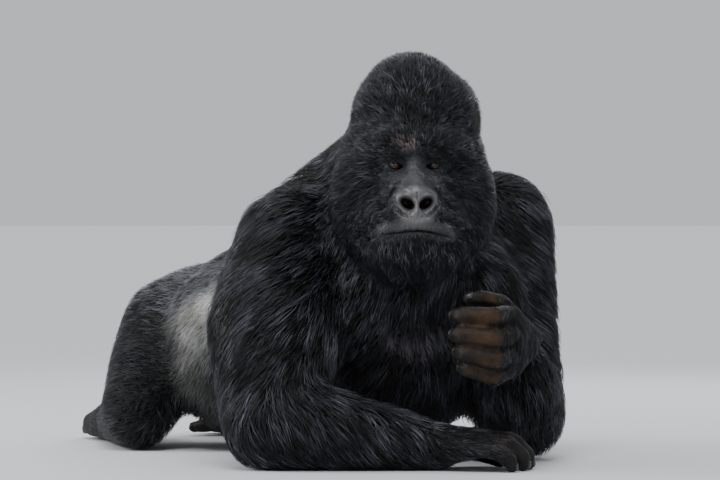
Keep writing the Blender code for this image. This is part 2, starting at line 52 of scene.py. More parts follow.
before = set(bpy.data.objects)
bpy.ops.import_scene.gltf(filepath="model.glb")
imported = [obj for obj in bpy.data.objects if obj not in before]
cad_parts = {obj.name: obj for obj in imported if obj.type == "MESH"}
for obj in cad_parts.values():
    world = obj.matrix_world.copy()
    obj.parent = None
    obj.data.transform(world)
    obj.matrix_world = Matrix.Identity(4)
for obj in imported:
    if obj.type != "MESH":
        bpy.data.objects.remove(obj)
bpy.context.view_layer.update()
BODY = "root"
SIDES = {"left": 1, "right": -1}
DIGITS = ("thumb_digit", "index_finger", "middle_finger", "ring_finger", "little_finger")

# ---------------------------------------------------------------- places taken from the frame

EYE_DEPTH = 0.080  # the eyes sit this far ahead of the head frame's origin
CUT_GAP = 0.002  # two nodes' surfaces are nearer than this where they meet
FAR_AWAY = 1e9  # farther than any place on the animal


def centre(node):
    low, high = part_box(node)
    return (low + high) / 2


SPINE_X = centre("pelvis").x
EYES = {side: centre(f"eye_{side}") for side in SIDES}
EYE_RADIUS = (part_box("eye_left")[1].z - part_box("eye_left")[0].z) / 2
EYE_MIDDLE = (EYES["left"] + EYES["right"]) / 2
EYE_ACROSS = (EYES["left"] - EYES["right"]).length / 2
HEAD_X = (EYES["left"] - EYES["right"]).normalized()
HEAD_Z = Vector((0, 0, 1))
HEAD_Y = HEAD_Z.cross(HEAD_X)
HEAD_ORIGIN = EYE_MIDDLE + HEAD_Y * EYE_DEPTH
HEAD_AXES = np.array([HEAD_X, HEAD_Y, HEAD_Z]).T
# The gaze axes run across, back and up as the viewer that the animal looks at sees it.
GAZE = Matrix.Rotation(math.radians(-32), 3, "Z")
EYES_ON_GAZE = Vector((0.050, 0.220, 0.540))  # the head frame's origin on the gaze axes


def to_head(points):
    return (points - np.array(HEAD_ORIGIN)) @ HEAD_AXES


def from_head(points):
    return points @ HEAD_AXES.T + np.array(HEAD_ORIGIN)


def on_gaze(across, ahead, up):
    """Place in the frame of a point given on the gaze axes, which the head's origin ties to it."""
    away = Vector((across - EYES_ON_GAZE.x, EYES_ON_GAZE.y - ahead, up - EYES_ON_GAZE.z))
    return HEAD_ORIGIN + GAZE @ away


def node_points(name):
    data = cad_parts[name].data
    points = np.empty(len(data.vertices) * 3, np.float32)
    data.vertices.foreach_get("co", points)
    return points.reshape(-1, 3).astype(float)


def joint(first, second):
    """Middle of the cut where two neighbouring nodes meet."""
    near = []
    for here, there in ((first, second), (second, first)):
        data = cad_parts[there].data
        corners = [vert.co.copy() for vert in data.vertices]
        other = BVHTree.FromPolygons(corners, [tuple(face.vertices) for face in data.polygons])
        near += [place for place in node_points(here) if other.find_nearest(place)[3] < CUT_GAP]
    return Vector(np.mean(near, axis=0))


# ---------------------------------------------------------------- small helpers


def srgb(hex_colour):
    """Linear RGB of a colour written as sRGB hex."""
    values = [int(hex_colour[i : i + 2], 16) / 255 for i in (0, 2, 4)]
    return tuple(v / 12.92 if v <= 0.04045 else ((v + 0.055) / 1.055) ** 2.4 for v in values)


def smoothstep(low, high, value):
    """0 below low and 1 above high, or the other way round where low is the higher."""
    t = np.clip((value - low) / (high - low), 0, 1)
    return t * t * (3 - 2 * t)


def ring(x, z, place):
    """Distance from a place's middle, as a ratio of its reach: 1 all along its oval edge."""
    middle, reach = place
    return np.hypot((x - middle[0]) / reach[0], (z - middle[1]) / reach[1])


def glow(x, z, place):
    """1 at a place's middle, fading out softly past its reach."""
    return np.exp(-(ring(x, z, place) ** 2))


def unit(vectors):
    return vectors / np.maximum(np.linalg.norm(vectors, axis=-1, keepdims=True), 1e-9)


def vertex_array(mesh, what="co"):
    values = np.empty(len(mesh.vertices) * 3, np.float32)
    if what == "normal":
        mesh.vertex_normals.foreach_get("vector", values)
    else:
        mesh.vertices.foreach_get("co", values)
    return values.reshape(-1, 3).astype(float)


def set_places(mesh, places):
    mesh.vertices.foreach_set("co", places.astype(np.float32).ravel())
    mesh.update()


def triangles_of(mesh):
    mesh.calc_loop_triangles()
    faces = np.empty(len(mesh.loop_triangles) * 3, np.int32)
    mesh.loop_triangles.foreach_get("vertices", faces)
    return faces.reshape(-1, 3)


def store(mesh, name, values):
    """Keep one number, or one vector, for each vertex."""
    wide = values.ndim == 2
    if name in mesh.attributes:
        mesh.attributes.remove(mesh.attributes[name])
    attribute = mesh.attributes.new(name, "FLOAT_VECTOR" if wide else "FLOAT", "POINT")
    attribute.data.foreach_set("vector" if wide else "value", values.astype(np.float32).ravel())


def stored(mesh, name):
    attribute = mesh.attributes[name]
    wide = attribute.data_type == "FLOAT_VECTOR"
    values = np.empty(len(mesh.vertices) * (3 if wide else 1), np.float32)
    attribute.data.foreach_get("vector" if wide else "value", values)
    return (values.reshape(-1, 3) if wide else values).astype(float)


def new_object(name, data):
    obj = bpy.data.objects.new(name, data)
    bpy.context.scene.collection.objects.link(obj)
    return obj


def mesh_of(bm, name):
    """A new mesh from what was built, which is then let go."""
    mesh = bpy.data.meshes.new(name)
    bm.to_mesh(mesh)
    bm.free()
    return mesh


def bake_modifiers(obj):
    """Swap the object's mesh for the one that its modifiers make."""
    graph = bpy.context.evaluated_depsgraph_get()
    made = bpy.data.meshes.new_from_object(obj.evaluated_get(graph))
    old = obj.data
    obj.modifiers.clear()
    obj.data = made
    bpy.data.meshes.remove(old)


class Neighbours:
    """Averages any per-vertex values over each vertex's neighbours."""

    def __init__(self, mesh):
        edges = np.empty(len(mesh.edges) * 2, np.int32)
        mesh.edges.foreach_get("vertices", edges)
        edges = edges.reshape(-1, 2)
        start = np.concatenate([edges[:, 0], edges[:, 1]])
        end = np.concatenate([edges[:, 1], edges[:, 0]])
        order = np.argsort(start, kind="stable")
        self.end = end[order]
        self.count = np.bincount(start, minlength=len(mesh.vertices))
        self.first = np.concatenate([[0], np.cumsum(self.count)[:-1]])

    def mean(self, values):
        gathered = np.add.reduceat(values[self.end], self.first, axis=0)
        count = self.count if values.ndim == 1 else self.count[:, None]
        return gathered / count

    def spread(self, values, times, share=0.5):
        """Even the values out, a share of the way to the neighbours' mean each time."""
        for _ in range(times):
            values = values * (1 - share) + self.mean(values) * share
        return values


# ---------------------------------------------------------------- places on the head and chest

# In millimetres on the head: (across, up) of the middle, and the reach each way.
SHALLOW_FACE = ((0, -34), (60, 66))
SHALLOW_LIPS = ((0, -122), (72, 26))
SHALLOW_BROW = ((0, 42), (95, 26))
FINE_FACE = ((0, -58), (54, 72))
FINE_NOSE = ((0, -68), (36, 34))
BARE_FACE = ((0, -34), (43, 54))
NOSE_SKIN = ((0, -68), (43, 34))
NOSE_BRIDGE = ((0, -20), (17, 30))
BROW_PATCH = ((-15, 42), (25, 16))
# Painted shade: the band above the eyes is the brow's shadow, and the tuft over the brow is dark hair
# with the shade of its raised hairs.
TUFT_DARK_HAIR_AND_SHADE = ((2, 74), (26, 14))
BROW_SHADOW_BAND = ((36, 19), (28, 9))
HAIRLESS_NOSE = ((0, -62), (40, 40))
HAIRLESS_BRIDGE = ((0, -12), (20, 30))
HAIRLESS_EYE = ((EYE_ACROSS * 1000, 0), (15, 9))
BREAST = ((SPINE_X, 0.262), (0.165, 0.085))  # the chest's thin patch, in metres on the body

# ---------------------------------------------------------------- the skin's base form

FLESH = sorted(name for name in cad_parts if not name.startswith("eye"))
SWELL = 0.0006  # each piece is swollen by this, so that the cuts close
BARE_MARGIN = 0.004  # how far the fine mesh reaches past a bare node's box
UNDER_COAT_TRIANGLES = 30500  # left under the coat once it is thinned
FEET_AND_HAND_TRIANGLES = 11500  # left on both feet and the right hand


def region_of(node):
    """The node's kind, without its side: all digits count as one kind."""
    if node.startswith(DIGITS):
        return "digit"
    return node.removesuffix("_left").removesuffix("_right")


# For each region, how far the skin lies inside the coat's outline and how long the hair is.
COAT_SIZES = {
    "head": (0.012, 0.032),
    "neck": (0.015, 0.050),
    "thorax": (0.016, 0.052),
    "abdomen": (0.012, 0.026),
    "pelvis": (0.011, 0.027),
    "upper_arm": (0.016, 0.066),
    "forearm": (0.014, 0.058),
    "thigh": (0.011, 0.026),
    "shank": (0.010, 0.024),
    "hand": (0.005, 0.024),
    "foot": (0.003, 0.012),
    "digit": (0.0006, 0.020),
    "ear": (0.004, 0.020),
}
REGIONS = list(COAT_SIZES)


def share_of(weights, region):
    return weights[:, REGIONS.index(region)]


def coat_size(weights, column):
    """The coat's depth, from column 0, or length, from column 1, at each vertex."""
    return weights @ np.array(list(COAT_SIZES.values()))[:, column]


def flesh_copy():
    """One mesh of all the flesh, each piece swollen a little."""
    joined = bmesh.new()
    for name in (*FLESH, "eye_left", "eye_right"):
        piece = bmesh.new()
        piece.from_mesh(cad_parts[name].data)
        bmesh.ops.remove_doubles(piece, verts=piece.verts, dist=1e-5)
        piece.normal_update()
        for vert, move in [(vert, vert.normal * SWELL) for vert in piece.verts]:
            vert.co += move
        mesh = mesh_of(piece, "piece")
        joined.from_mesh(mesh)
        bpy.data.meshes.remove(mesh)
    return mesh_of(joined, "skin")


def nearest_nodes(points):
    """For each point, the index in FLESH of the nearest CAD node."""
    verts, faces, owners = [], [], []
    for number, name in enumerate(FLESH):
        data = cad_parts[name].data
        start = len(verts)
        verts += [vert.co.copy() for vert in data.vertices]
        faces += [[start + index for index in face.vertices] for face in data.polygons]
        owners += [number] * len(data.polygons)
    tree = BVHTree.FromPolygons(verts, faces)
    return np.array([owners[tree.find_nearest(Vector(point))[2]] for point in points])


def inside_box(places, name):
    low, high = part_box(name)
    return ((places > np.array(low) - BARE_MARGIN) & (places < np.array(high) + BARE_MARGIN)).all(axis=1)


def skin_zones(places):
    """Where the mesh stays fine and where it is thinned a little: the rest lies under the coat."""
    x, y, z = (to_head(places) * 1000).T
    fine = (y < -45) & (np.abs(x) < 66) & (np.abs(z + 52) < 82)
    medium = np.zeros(len(places), bool)
    for name in FLESH:
        kind = region_of(name)
        if kind in ("hand", "digit") and name.endswith("left") or kind == "ear":
            fine |= inside_box(places, name)
        elif kind in ("hand", "digit", "foot"):
            medium |= inside_box(places, name)
    return fine, medium & ~fine


def thin(obj, chosen, wanted):
    """Thin the chosen vertices' part of the mesh to about so many triangles."""
    mesh = obj.data
    faces = triangles_of(mesh)
    part = chosen[faces].all(axis=1).sum()
    group = obj.vertex_groups.new(name="thinned")
    group.add([int(index) for index in np.flatnonzero(chosen)], 1.0, "REPLACE")
    decimate = obj.modifiers.new("thinner", "DECIMATE")
    decimate.ratio = (len(faces) - part + wanted) / len(faces)
    decimate.vertex_group = group.name
    decimate.use_collapse_triangulate = True
    bake_modifiers(obj)
    obj.vertex_groups.clear()


def base_skin(voxel):
    """The flesh as one closed surface, finest on face, ears and left hand, coarsest under the coat."""
    obj = new_object("skin", flesh_copy())
    remesh = obj.modifiers.new("one_skin", "REMESH")
    remesh.mode = "VOXEL"
    remesh.voxel_size = voxel
    bake_modifiers(obj)
    fine, medium = skin_zones(vertex_array(obj.data))
    thin(obj, ~fine & ~medium, UNDER_COAT_TRIANGLES)
    fine, medium = skin_zones(vertex_array(obj.data))
    thin(obj, medium, FEET_AND_HAND_TRIANGLES)
    return obj


def head_zone(local):
    """How strongly each point on the head belongs to the bare face, the lips, the brow and the front."""
    x, y, z = (local * 1000).T
    front = smoothstep(-25, -60, y)
    face = smoothstep(1.30, 0.90, ring(x, z, SHALLOW_FACE)) * front
    lips = smoothstep(1.25, 0.90, ring(x, z, SHALLOW_LIPS)) * front
    brow = smoothstep(1.2, 0.8, ring(x, z, SHALLOW_BROW)) * front
    return {"front": front, "face": face, "lips": lips, "brow": brow}


# How far the skin lies under the outline at these zones of the head.
SHALLOW_DEPTHS = {"brow": 0.006, "lips": 0.0025, "face": 0.0012}


def coat_depth(places, weights):
    """How far the skin lies under the coat's outline at each vertex."""
    depth = coat_size(weights, 0)
    zones = head_zone(to_head(places))
    head = share_of(weights, "head")
    for zone, inside in SHALLOW_DEPTHS.items():
        share = zones[zone] * head
        depth = depth * (1 - share) + inside * share
    return depth


def refine(mesh, chosen):
    """Halve the edges of the triangles round the chosen vertices."""
    bm = bmesh.new()
    bm.from_mesh(mesh)
    bm.verts.ensure_lookup_table()
    near = {bm.verts[int(index)] for index in np.flatnonzero(chosen)}
    edges = [edge for edge in bm.edges if edge.verts[0] in near and edge.verts[1] in near]
    bmesh.ops.subdivide_edges(bm, edges=edges, cuts=1, use_grid_fill=True)
    bmesh.ops.triangulate(bm, faces=[face for face in bm.faces if len(face.verts) > 3])
    bm.to_mesh(mesh)
    bm.free()
    mesh.update()


# ---------------------------------------------------------------- the face, in millimetres

NOSTRIL = (15.6, -67.0)
NOSTRIL_REACH = (13.8, 9.0)
NOSTRIL_SLANT = math.radians(36)
MOUTH = [(-77, -125), (-69, -123), (-52, -120), (-32, -117), (-12, -114.5)]
MOUTH += [(0, -114), (14, -115), (32, -118), (50, -122.5), (64, -127), (71, -129)]
MOUTH_MIDDLE = -2
LID_THICKNESS = 1.3
LID_LEAVES = math.radians(48)  # where the lid leaves the eyeball and runs out to the socket
LID_BLEND = 2.2
EYE_HALF_WIDTH = 13.8
UPPER_LID = 5.4  # height of the opening's upper edge over the eye's middle
LOWER_LID = -6.8
LID_TILT = 0.10


class Clay:
    """Points of the face in the head's frame, in millimetres, and the strokes that shape them."""

    def __init__(self, points):
        self.points = points * 1000
        self.front = smoothstep(-30, -50, self.points[:, 1])

    def push(self, at, radii, move):
        """Move what is near a place, given as x and z with a radius each way."""
        self.move(glow(self.points[:, 0], self.points[:, 2], (at, radii)), move)

    def pair(self, at, radii, move):
        for side in (1, -1):
            self.push((at[0] * side, at[1]), radii, (move[0] * side, move[1], move[2]))

    def stroke(self, path, width, move, fade=0.18):
        """Move what is near a line over the face, fading out at the line's ends."""
        self.move(self.along(path, width, fade), move)

    def strokes(self, path, width, move):
        for side in (1, -1):
            self.stroke([(x * side, z) for x, z in path], width, (move[0] * side, move[1], move[2]))

    def along(self, path, width, fade=0.18):
        """How strongly each point belongs to a line over the face."""
        path = np.array(path, float)
        along, away = along_line(self.points[:, [0, 2]], path)
        place = along / lengths_of(path).sum()
        ends = smoothstep(0, fade, place) * smoothstep(1, 1 - fade, place)
        return np.exp(-((away / width) ** 2)) * (0.15 + 0.85 * ends)

    def move(self, weight, move):
        self.points += (weight * self.front)[:, None] * np.array(move, float)


def shape_brow(clay):
    clay.pair((40, 40), (34, 17), (0, -8.5, -1))
    clay.push((0, 40), (26, 16), (0, -6, 0))
    clay.pair((38, 23), (30, 8), (0, -6, -5))
    clay.push((0, 82), (60, 16), (0, 3, 0))


def shape_sockets(clay):
    clay.pair((35, 1), (22, 13), (0, 6, 0))
    clay.pair((17, 4), (6, 12), (0, 4, 0))
    clay.pair((48, -22), (20, 12), (0, -3, 0))


def nostril_ring(x, z):
    """How far a place, mirrored to the left, is from the nostril's middle, and how far outward."""
    across = x - NOSTRIL[0]
    up = z - NOSTRIL[1]
    long = across * math.cos(NOSTRIL_SLANT) + up * math.sin(NOSTRIL_SLANT)
    short = up * math.cos(NOSTRIL_SLANT) - across * math.sin(NOSTRIL_SLANT)
    return np.hypot(long / NOSTRIL_REACH[0], short / NOSTRIL_REACH[1]), across


def shape_nose(clay):
    clay.stroke([(0, 16), (0, -10), (0, -44)], 11, (0, -5, 0))
    clay.push((0, -66), (36, 28), (0, -5, 0))
    clay.push((0, -50), (26, 9), (0, -3, 0))
    for side in (1, -1):
        around, across = nostril_ring(clay.points[:, 0] * side, clay.points[:, 2])
        outer = smoothstep(-6, 6, across)
        clay.move(np.exp(-(((around - 1.42) / 0.40) ** 2)) * (0.45 + 0.55 * outer), (0, -5.0, 0))
        clay.move(np.exp(-(((around - 2.25) / 0.30) ** 2)) * outer, (0, 4.0, 0))
        clay.move(smoothstep(1.08, 0.72, around), (0, 15, 3))
    clay.stroke([(0, -56), (0, -78), (0, -96)], 3.4, (0, -4, 0))
    clay.stroke([(0, -45), (0, -60)], 1.5, (0, 3, 0))
    clay.strokes([(5, -92), (6, -108)], 2.0, (0, 1.0, 0))
    clay.strokes([(4, -37), (18, -40), (36, -54), (42, -70)], 2.4, (0, 2.2, 0))


def shape_mouth(clay):
    line = np.array(MOUTH, float)
    clay.stroke(line + (0, 7), 7.0, (0, -1.4, 0))
    clay.stroke(line - (0, 7), 5.0, (0, -0.8, 0))
    clay.stroke(line, 1.9, (0, 6.5, 0.6), fade=0.07)
    clay.pair((68, -126), (6, 5), (0, 3, 0))
    clay.stroke([(-44, -140), (0, -138), (44, -140)], 5, (0, 3, 0))


def shape_folds(clay):
    clay.strokes([(28, -30), (44, -54), (52, -74), (60, -88)], 4.0, (0, 3.2, 0))
    clay.strokes([(40, -30), (57, -54), (68, -80)], 7.0, (0, -2.0, 0))
    clay.strokes([(19, -15), (34, -21), (51, -16)], 2.0, (0, 1.8, 0))
    clay.strokes([(20, -27), (36, -34), (56, -28)], 2.4, (0, 1.6, 0))
    for z in (12, 4, -4, -13, -22):
        clay.stroke([(-12, z - 2), (0, z + 1), (12, z - 2)], 1.3, (0, 1.1, 0))
    for line in ([(50, 4), (63, 12)], [(51, -2), (66, -4)], [(49, -8), (62, -18)]):
        clay.strokes(line, 1.4, (0, 1.3, 0))
    clay.strokes([(7, 16), (9, 27), (9, 38)], 2.6, (0, 1.2, 0))


def shape_lids(clay):
    """Lids drawn over each eyeball, running out into the socket, with an almond opening."""
    radius = EYE_RADIUS * 1000 + LID_THICKNESS
    edge = radius * math.sin(LID_LEAVES)
    for side in (1, -1):
        x = (clay.points[:, 0] - side * EYE_ACROSS * 1000) * side
        y = clay.points[:, 1] + EYE_DEPTH * 1000
        z = clay.points[:, 2]
        spread = np.hypot(x, z)
        dome = -np.sqrt(np.maximum(radius**2 - np.minimum(spread, edge) ** 2, 0))
        skirt = dome + np.maximum(spread - edge, 0) * math.tan(LID_LEAVES) * 0.8
        near = smoothstep(34, 20, spread)
        both = -LID_BLEND * np.log(np.exp(-y / LID_BLEND) + np.exp(-skirt / LID_BLEND))
        over_eye = smoothstep(edge, edge * 0.75, spread)
        target = both * (1 - over_eye) + dome * over_eye
        y_new = y + (np.minimum(target, y) - y) * near * clay.front
        bow = np.clip(1 - (x / EYE_HALF_WIDTH) ** 2, 0, 1)
        upper = UPPER_LID * bow**0.7 + LID_TILT * x
        lower = LOWER_LID * bow**0.8 + LID_TILT * x
        inside = np.minimum(upper - z, z - lower)
        opened = smoothstep(-0.35, 0.35, inside) * (bow > 0)
        rim = np.exp(-(((inside + 1.3) / 0.9) ** 2)) * (bow > 0)
        y_new += (opened * 6.0 - rim * 0.7) * clay.front
        clay.points[:, 1] = y_new - EYE_DEPTH * 1000
    clay.strokes([(22, 4), (34, 8.5), (47, 5)], 1.3, (0, 1.8, 0))
    clay.strokes([(22, -9), (34, -12.5), (47, -9)], 1.4, (0, 1.3, 0))


def sculpt_face(mesh):
    """Refine the face in three steps, each over a smaller part, and shape it."""
    for step in range(3):
        x, y, z = (to_head(vertex_array(mesh)) * 1000).T
        reach = (20, 14) if step == 1 else (13.5, 7)
        eye = ring(np.abs(x), z, ((EYE_ACROSS * 1000, 0), reach))
        wider = (ring(x, z, FINE_FACE), ring(x, z, FINE_NOSE), eye)[step]
        refine(mesh, (np.minimum(wider, eye) < 1) & (y < -50))
    clay = Clay(to_head(vertex_array(mesh)))
    for shape in (shape_brow, shape_sockets, shape_nose, shape_mouth, shape_folds, shape_lids):
        shape(clay)
    set_places(mesh, from_head(clay.points / 1000))


# ---------------------------------------------------------------- fingers

# Each digit from its knuckle to its tip, as (across, ahead, up) on the gaze axes, in millimetres.
DIGIT_LINES = {
    "thumb_digit_left": [(230, 322, 268), (207, 345, 297), (172, 356, 306), (148, 362, 305)],
    "index_finger_left": [(222, 365, 277), (190, 415, 274), (137, 422, 277), (124, 390, 276)],
    "middle_finger_left": [(228, 369, 243), (190, 424, 236), (135, 430, 243), (124, 396, 243)],
    "ring_finger_left": [(228, 366, 210), (190, 420, 199), (141, 426, 211), (130, 392, 212)],
    "little_finger_left": [(225, 357, 181), (190, 405, 168), (146, 410, 181), (137, 380, 183)],
    "thumb_digit_right": [(112, 292, 40), (150, 262, 30), (186, 256, 20), (208, 258, 10)],
    "index_finger_right": [(168, 297, 52), (214, 291, 48), (240, 289, 26), (243, 288, 11)],
    "middle_finger_right": [(174, 331, 54), (224, 329, 50), (252, 328, 26), (254, 327, 11.2)],
    "ring_finger_right": [(170, 364, 50), (217, 367, 46), (243, 366, 25), (245, 365, 10.8)],
    "little_finger_right": [(160, 393, 42), (199, 402, 38), (221, 402, 21), (223, 401, 9.2)],
}
TIP_RADII = (11.5, 13.5, 13.8, 13.2, 11.8, 11.8, 13.2, 13.6, 13.0, 11.4)  # in the same order
FOLD_OFFSETS = (-0.0112, -0.0072, -0.0036, 0.0, 0.0036, 0.0072, 0.0112)


def digit_line(name):
    return np.array([on_gaze(*(value / 1000 for value in place)) for place in DIGIT_LINES[name]])


def lengths_of(line):
    return np.linalg.norm(np.diff(line, axis=0), axis=1)


def along_line(points, line):
    """For each point: distance along the line, and distance from it."""
    along = np.zeros(len(points))
    away = np.full(len(points), FAR_AWAY)
    done = 0.0
    for start, end in zip(line, line[1:]):
        length = np.linalg.norm(end - start)
        t = np.clip((points - start) @ (end - start) / length**2, 0, 1)
        gap = np.linalg.norm(points - start - t[:, None] * (end - start), axis=1)
        nearer = gap < away
        away[nearer] = gap[nearer]
        along[nearer] = done + t[nearer] * length
        done += length
    return along, away


def crease_digits(mesh, owners):
    """Knuckle folds round each digit's joints, and a leathery ripple between them."""
    places = vertex_array(mesh)
    normals = vertex_array(mesh, "normal")
    move = np.zeros(len(places))
    for name in DIGIT_LINES:
        mine = owners == FLESH.index(name)
        line = digit_line(name)
        along, _ = along_line(places[mine], line)
        depth = 0.00022 * np.sin(along * 2100 + places[mine][:, 2] * 260)
        for at in np.cumsum(lengths_of(line))[:2]:
            for offset in FOLD_OFFSETS:
                fold = 0.0016 * (1 - abs(offset) / 0.016)
                depth -= fold * np.exp(-(((along - at - offset) / 0.00115) ** 2))
            depth += 0.0012 * np.exp(-(((along - at) / 0.010) ** 2))
        move[mine] = depth
    set_places(mesh, places + normals * move[:, None])


# ---------------------------------------------------------------- toes

FOOT_AIM = Vector((-0.048, 0.154, -0.017)).normalized()  # from the left ankle to the toes
TOE_GAPS = (-0.0245, -0.0055, 0.0135, 0.0330)  # between the toes, inward from the foot's line
TOE_ROOTS = 0.094
TOE_TIPS = 0.150
SOLE_FOLDS = (0.030, 0.048, 0.066, 0.080)  # across the sole, from the ankle


def on_foot(places, side):
    """Distance of each place from the ankle along the foot, and inward from the foot's line."""
    mirror = np.array((SIDES[side], 1, 1))
    ankle = np.array(joint(f"shank_{side}", f"foot_{side}"))
    away = (places - ankle) * mirror
    along = np.array(FOOT_AIM)
    inward = unit(np.array((-along[1], along[0], 0.0)))
    return away @ along, away @ inward


def part_toes(mesh, owners):
    """Clefts between the toes and folds across the soles."""
    places = vertex_array(mesh)
    normals = vertex_array(mesh, "normal")
    move = np.zeros(len(places))
    for side in SIDES:
        mine = owners == FLESH.index(f"foot_{side}")
        along, inward = on_foot(places[mine], side)
        depth = np.zeros(mine.sum())
        for gap in TOE_GAPS:
            cleft = np.exp(-(((inward - gap) / 0.0030) ** 2))
            start = TOE_ROOTS - (0.012 if gap == TOE_GAPS[-1] else 0)
            depth -= cleft * (0.0060 * smoothstep(start, start + 0.016, along))
            depth -= cleft * (0.0050 * smoothstep(TOE_TIPS - 0.020, TOE_TIPS, along))
        for fold in SOLE_FOLDS:
            depth -= 0.0014 * np.exp(-(((along - fold - inward * 0.15) / 0.0022) ** 2))
        depth -= 0.0016 * np.exp(-(((along - TOE_ROOTS - 0.022) / 0.0022) ** 2))
        move[mine] = depth
    set_places(mesh, places + normals * move[:, None])


# ---------------------------------------------------------------- lie, length and colour of the coat

LEAST_RISE = 0.0004
MOST_RISE = 0.030
DOWNWARD = np.array((0.0, 0.0, -1.0))
# How the hair lies on each part, before it is laid on the surface: outward, back and up.
PLAIN_LIE = {
    "neck": (0.3, 0.60, -1.0),
    "thorax": (0.3, 0.75, -1.0),
    "abdomen": (0.0, 0.50, -1.0),
    "pelvis": (0.2, 1.00, -0.8),
    "upper_arm": (0.8, 0.45, -0.9),
    "thigh": (0.5, 1.00, -0.5),
    "shank": (0.3, 1.00, -0.25),
    "foot": (0.0, 1.00, -0.1),
    "ear": (0.0, 0.60, 0.5),
}
SPINE_SOFTNESS = 0.12  # the lie turns from one side to the other within this of the spine


def limb_lie(name):
    """Direction of the hair on a forearm, hand or digit."""
    side = name.rsplit("_", 1)[1]
    elbow = joint(f"upper_arm_{side}", f"forearm_{side}")
    wrist = joint(f"forearm_{side}", f"hand_{side}")
    up_the_arm = np.array((elbow - wrist).normalized())
    if name.startswith("forearm"):
        along = 0.9 if side == "left" else -0.7
        return up_the_arm * along + DOWNWARD * 0.8
    return -up_the_arm * 0.15 + DOWNWARD * 0.9 if side == "left" else -up_the_arm


def head_lie(local):
    """Hair fans out from the brow, runs back over the crown, and down the cheeks and beard."""
    x, y, z = (local * 1000).T
    fan = np.stack([x, (y + 118) * 0.9, z - 12], axis=1) / 100
    fan[:, 2] -= 1.5 * smoothstep(10, 90, y)
    fan[:, 2] -= 0.5 * smoothstep(-20, -130, z)
    fan[:, 1] += 0.8 * smoothstep(60, 190, z)
    over_eye = np.exp(-(((z - 38) / 26) ** 2)) * smoothstep(-20, -70, y)
    fan[:, 0] += 1.1 * over_eye * np.sign(x) * smoothstep(6, 30, np.abs(x))
    fan[:, 2] += 0.45 * over_eye
    return unit(fan) @ HEAD_AXES.T


def lie_field(places, owners):
    lie = np.zeros((len(places), 3))
    for number, name in enumerate(FLESH):
        mine = owners == number
        kind = region_of(name)
        if kind == "head":
            lie[mine] = head_lie(to_head(places[mine]))
        elif kind in PLAIN_LIE:
            outward = np.clip((places[mine, 0] - SPINE_X) / SPINE_SOFTNESS, -1, 1)
            lie[mine] = PLAIN_LIE[kind]
            lie[mine, 0] *= outward
        else:
            lie[mine] = limb_lie(name)
    return lie


def on_surface(vectors, normals):
    return unit(vectors - normals * (vectors * normals).sum(axis=1, keepdims=True))


def above_mouth(x, z):
    return z - np.interp(x, *np.array(MOUTH).T)


def mouth_ring(x, z, reach, above, below):
    """Distance from the line of the mouth, as a ratio of its reach across, above and below."""
    gap = above_mouth(x, z)
    return np.hypot((x - MOUTH_MIDDLE) / reach, np.where(gap > 0, gap / above, gap / below))


def head_rings(local):
    """Distances from the middle of the bare face and of the mouth, as ratios of their half sizes."""
    x, y, z = (local * 1000).T
    behind = 2 * smoothstep(-60, -30, y)
    return ring(x, z, BARE_FACE) + behind, mouth_ring(x, z, 94, 31, 8) + behind


def brow_patch(local):
    """The thinly haired skin between the brows."""
    x, _, z = (local * 1000).T
    return smoothstep(1.35, 0.75, ring(x, z, BROW_PATCH))


def head_shade_and_dark_tuft(local):
    """Painted shade on the head: the brow's shadow on the band above the eyes, and the tuft over the
    brow, dark hair with the shade of its raised hairs.
    """
    x, y, z = (local * 1000).T
    band = glow(np.abs(x), z, BROW_SHADOW_BAND) * 0.9
    return np.maximum(glow(x, z, TUFT_DARK_HAIR_AND_SHADE), band) * smoothstep(-30, -60, y)


def chest_patch(places):
    """The nearly bare skin over the breast muscles."""
    x, y, z = places.T
    return smoothstep(1.15, 0.75, ring(x, z, BREAST)) * smoothstep(-0.27, -0.33, y)


def length_field(places, weights):
    """How long the hair is at each place: short round the bare face, longest on the beard."""
    local = to_head(places)
    face, lips = head_rings(local)
    _, y, z = (local * 1000).T
    head = share_of(weights, "head")
    grown = 0.004 + 0.025 * smoothstep(0.9, 2.3, face)
    grown = np.minimum(grown, 0.004 + 0.025 * smoothstep(0.8, 2.6, lips))
    grown = grown + 0.006 * smoothstep(-125, -170, z)
    brow = np.exp(-(((z - 42) / 24) ** 2)) * smoothstep(-30, -70, y)
    grown = grown * (1 - brow) + 0.017 * brow
    chest = chest_patch(places) * share_of(weights, "thorax")
    return coat_size(weights, 1) * (1 - 0.62 * chest) * (1 - head) + grown * head


FLANK_TOP = 0.355  # height of the silver's upper edge level with the shoulders' rear
FLANK_FALL = 0.41  # how much lower that edge is for each metre towards the rump
# The silver fades towards the bottom: the belly's own hair is dark, and the lower flank, which curves
# under, is painted as shade.
SILVER_AND_SHADE_BY_HEIGHT = [(0.08, 0.14), (0.14, 0.30), (0.20, 0.40), (0.25, 0.70), (0.29, 1.0)]
GRIZZLED_SHARES = {"pelvis": 0.40, "thigh": 0.10, "shank": 0.14}
BLACK_SHARES = {"neck": 0.07, "upper_arm": 0.035, "forearm": 0.035}
# Paler hair on the head, in millimetres: its place, and the share of pale hairs there.
GRIZZLED_PATCHES = (
    (((6, 122), (55, 26)), 0.20),
    (((-12, 46), (26, 16)), 0.08),
    (((84, 18), (16, 12)), 0.26),
    (((-78, 22), (16, 10)), 0.20),
    # The chin's share is raised as painted light, to lift it out of the head's shade.
    (((0, -150), (75, 30)), 0.24),
    (((0, -12), (70, 30)), 0.07),
    (((100, 78), (22, 26)), 0.22),
)


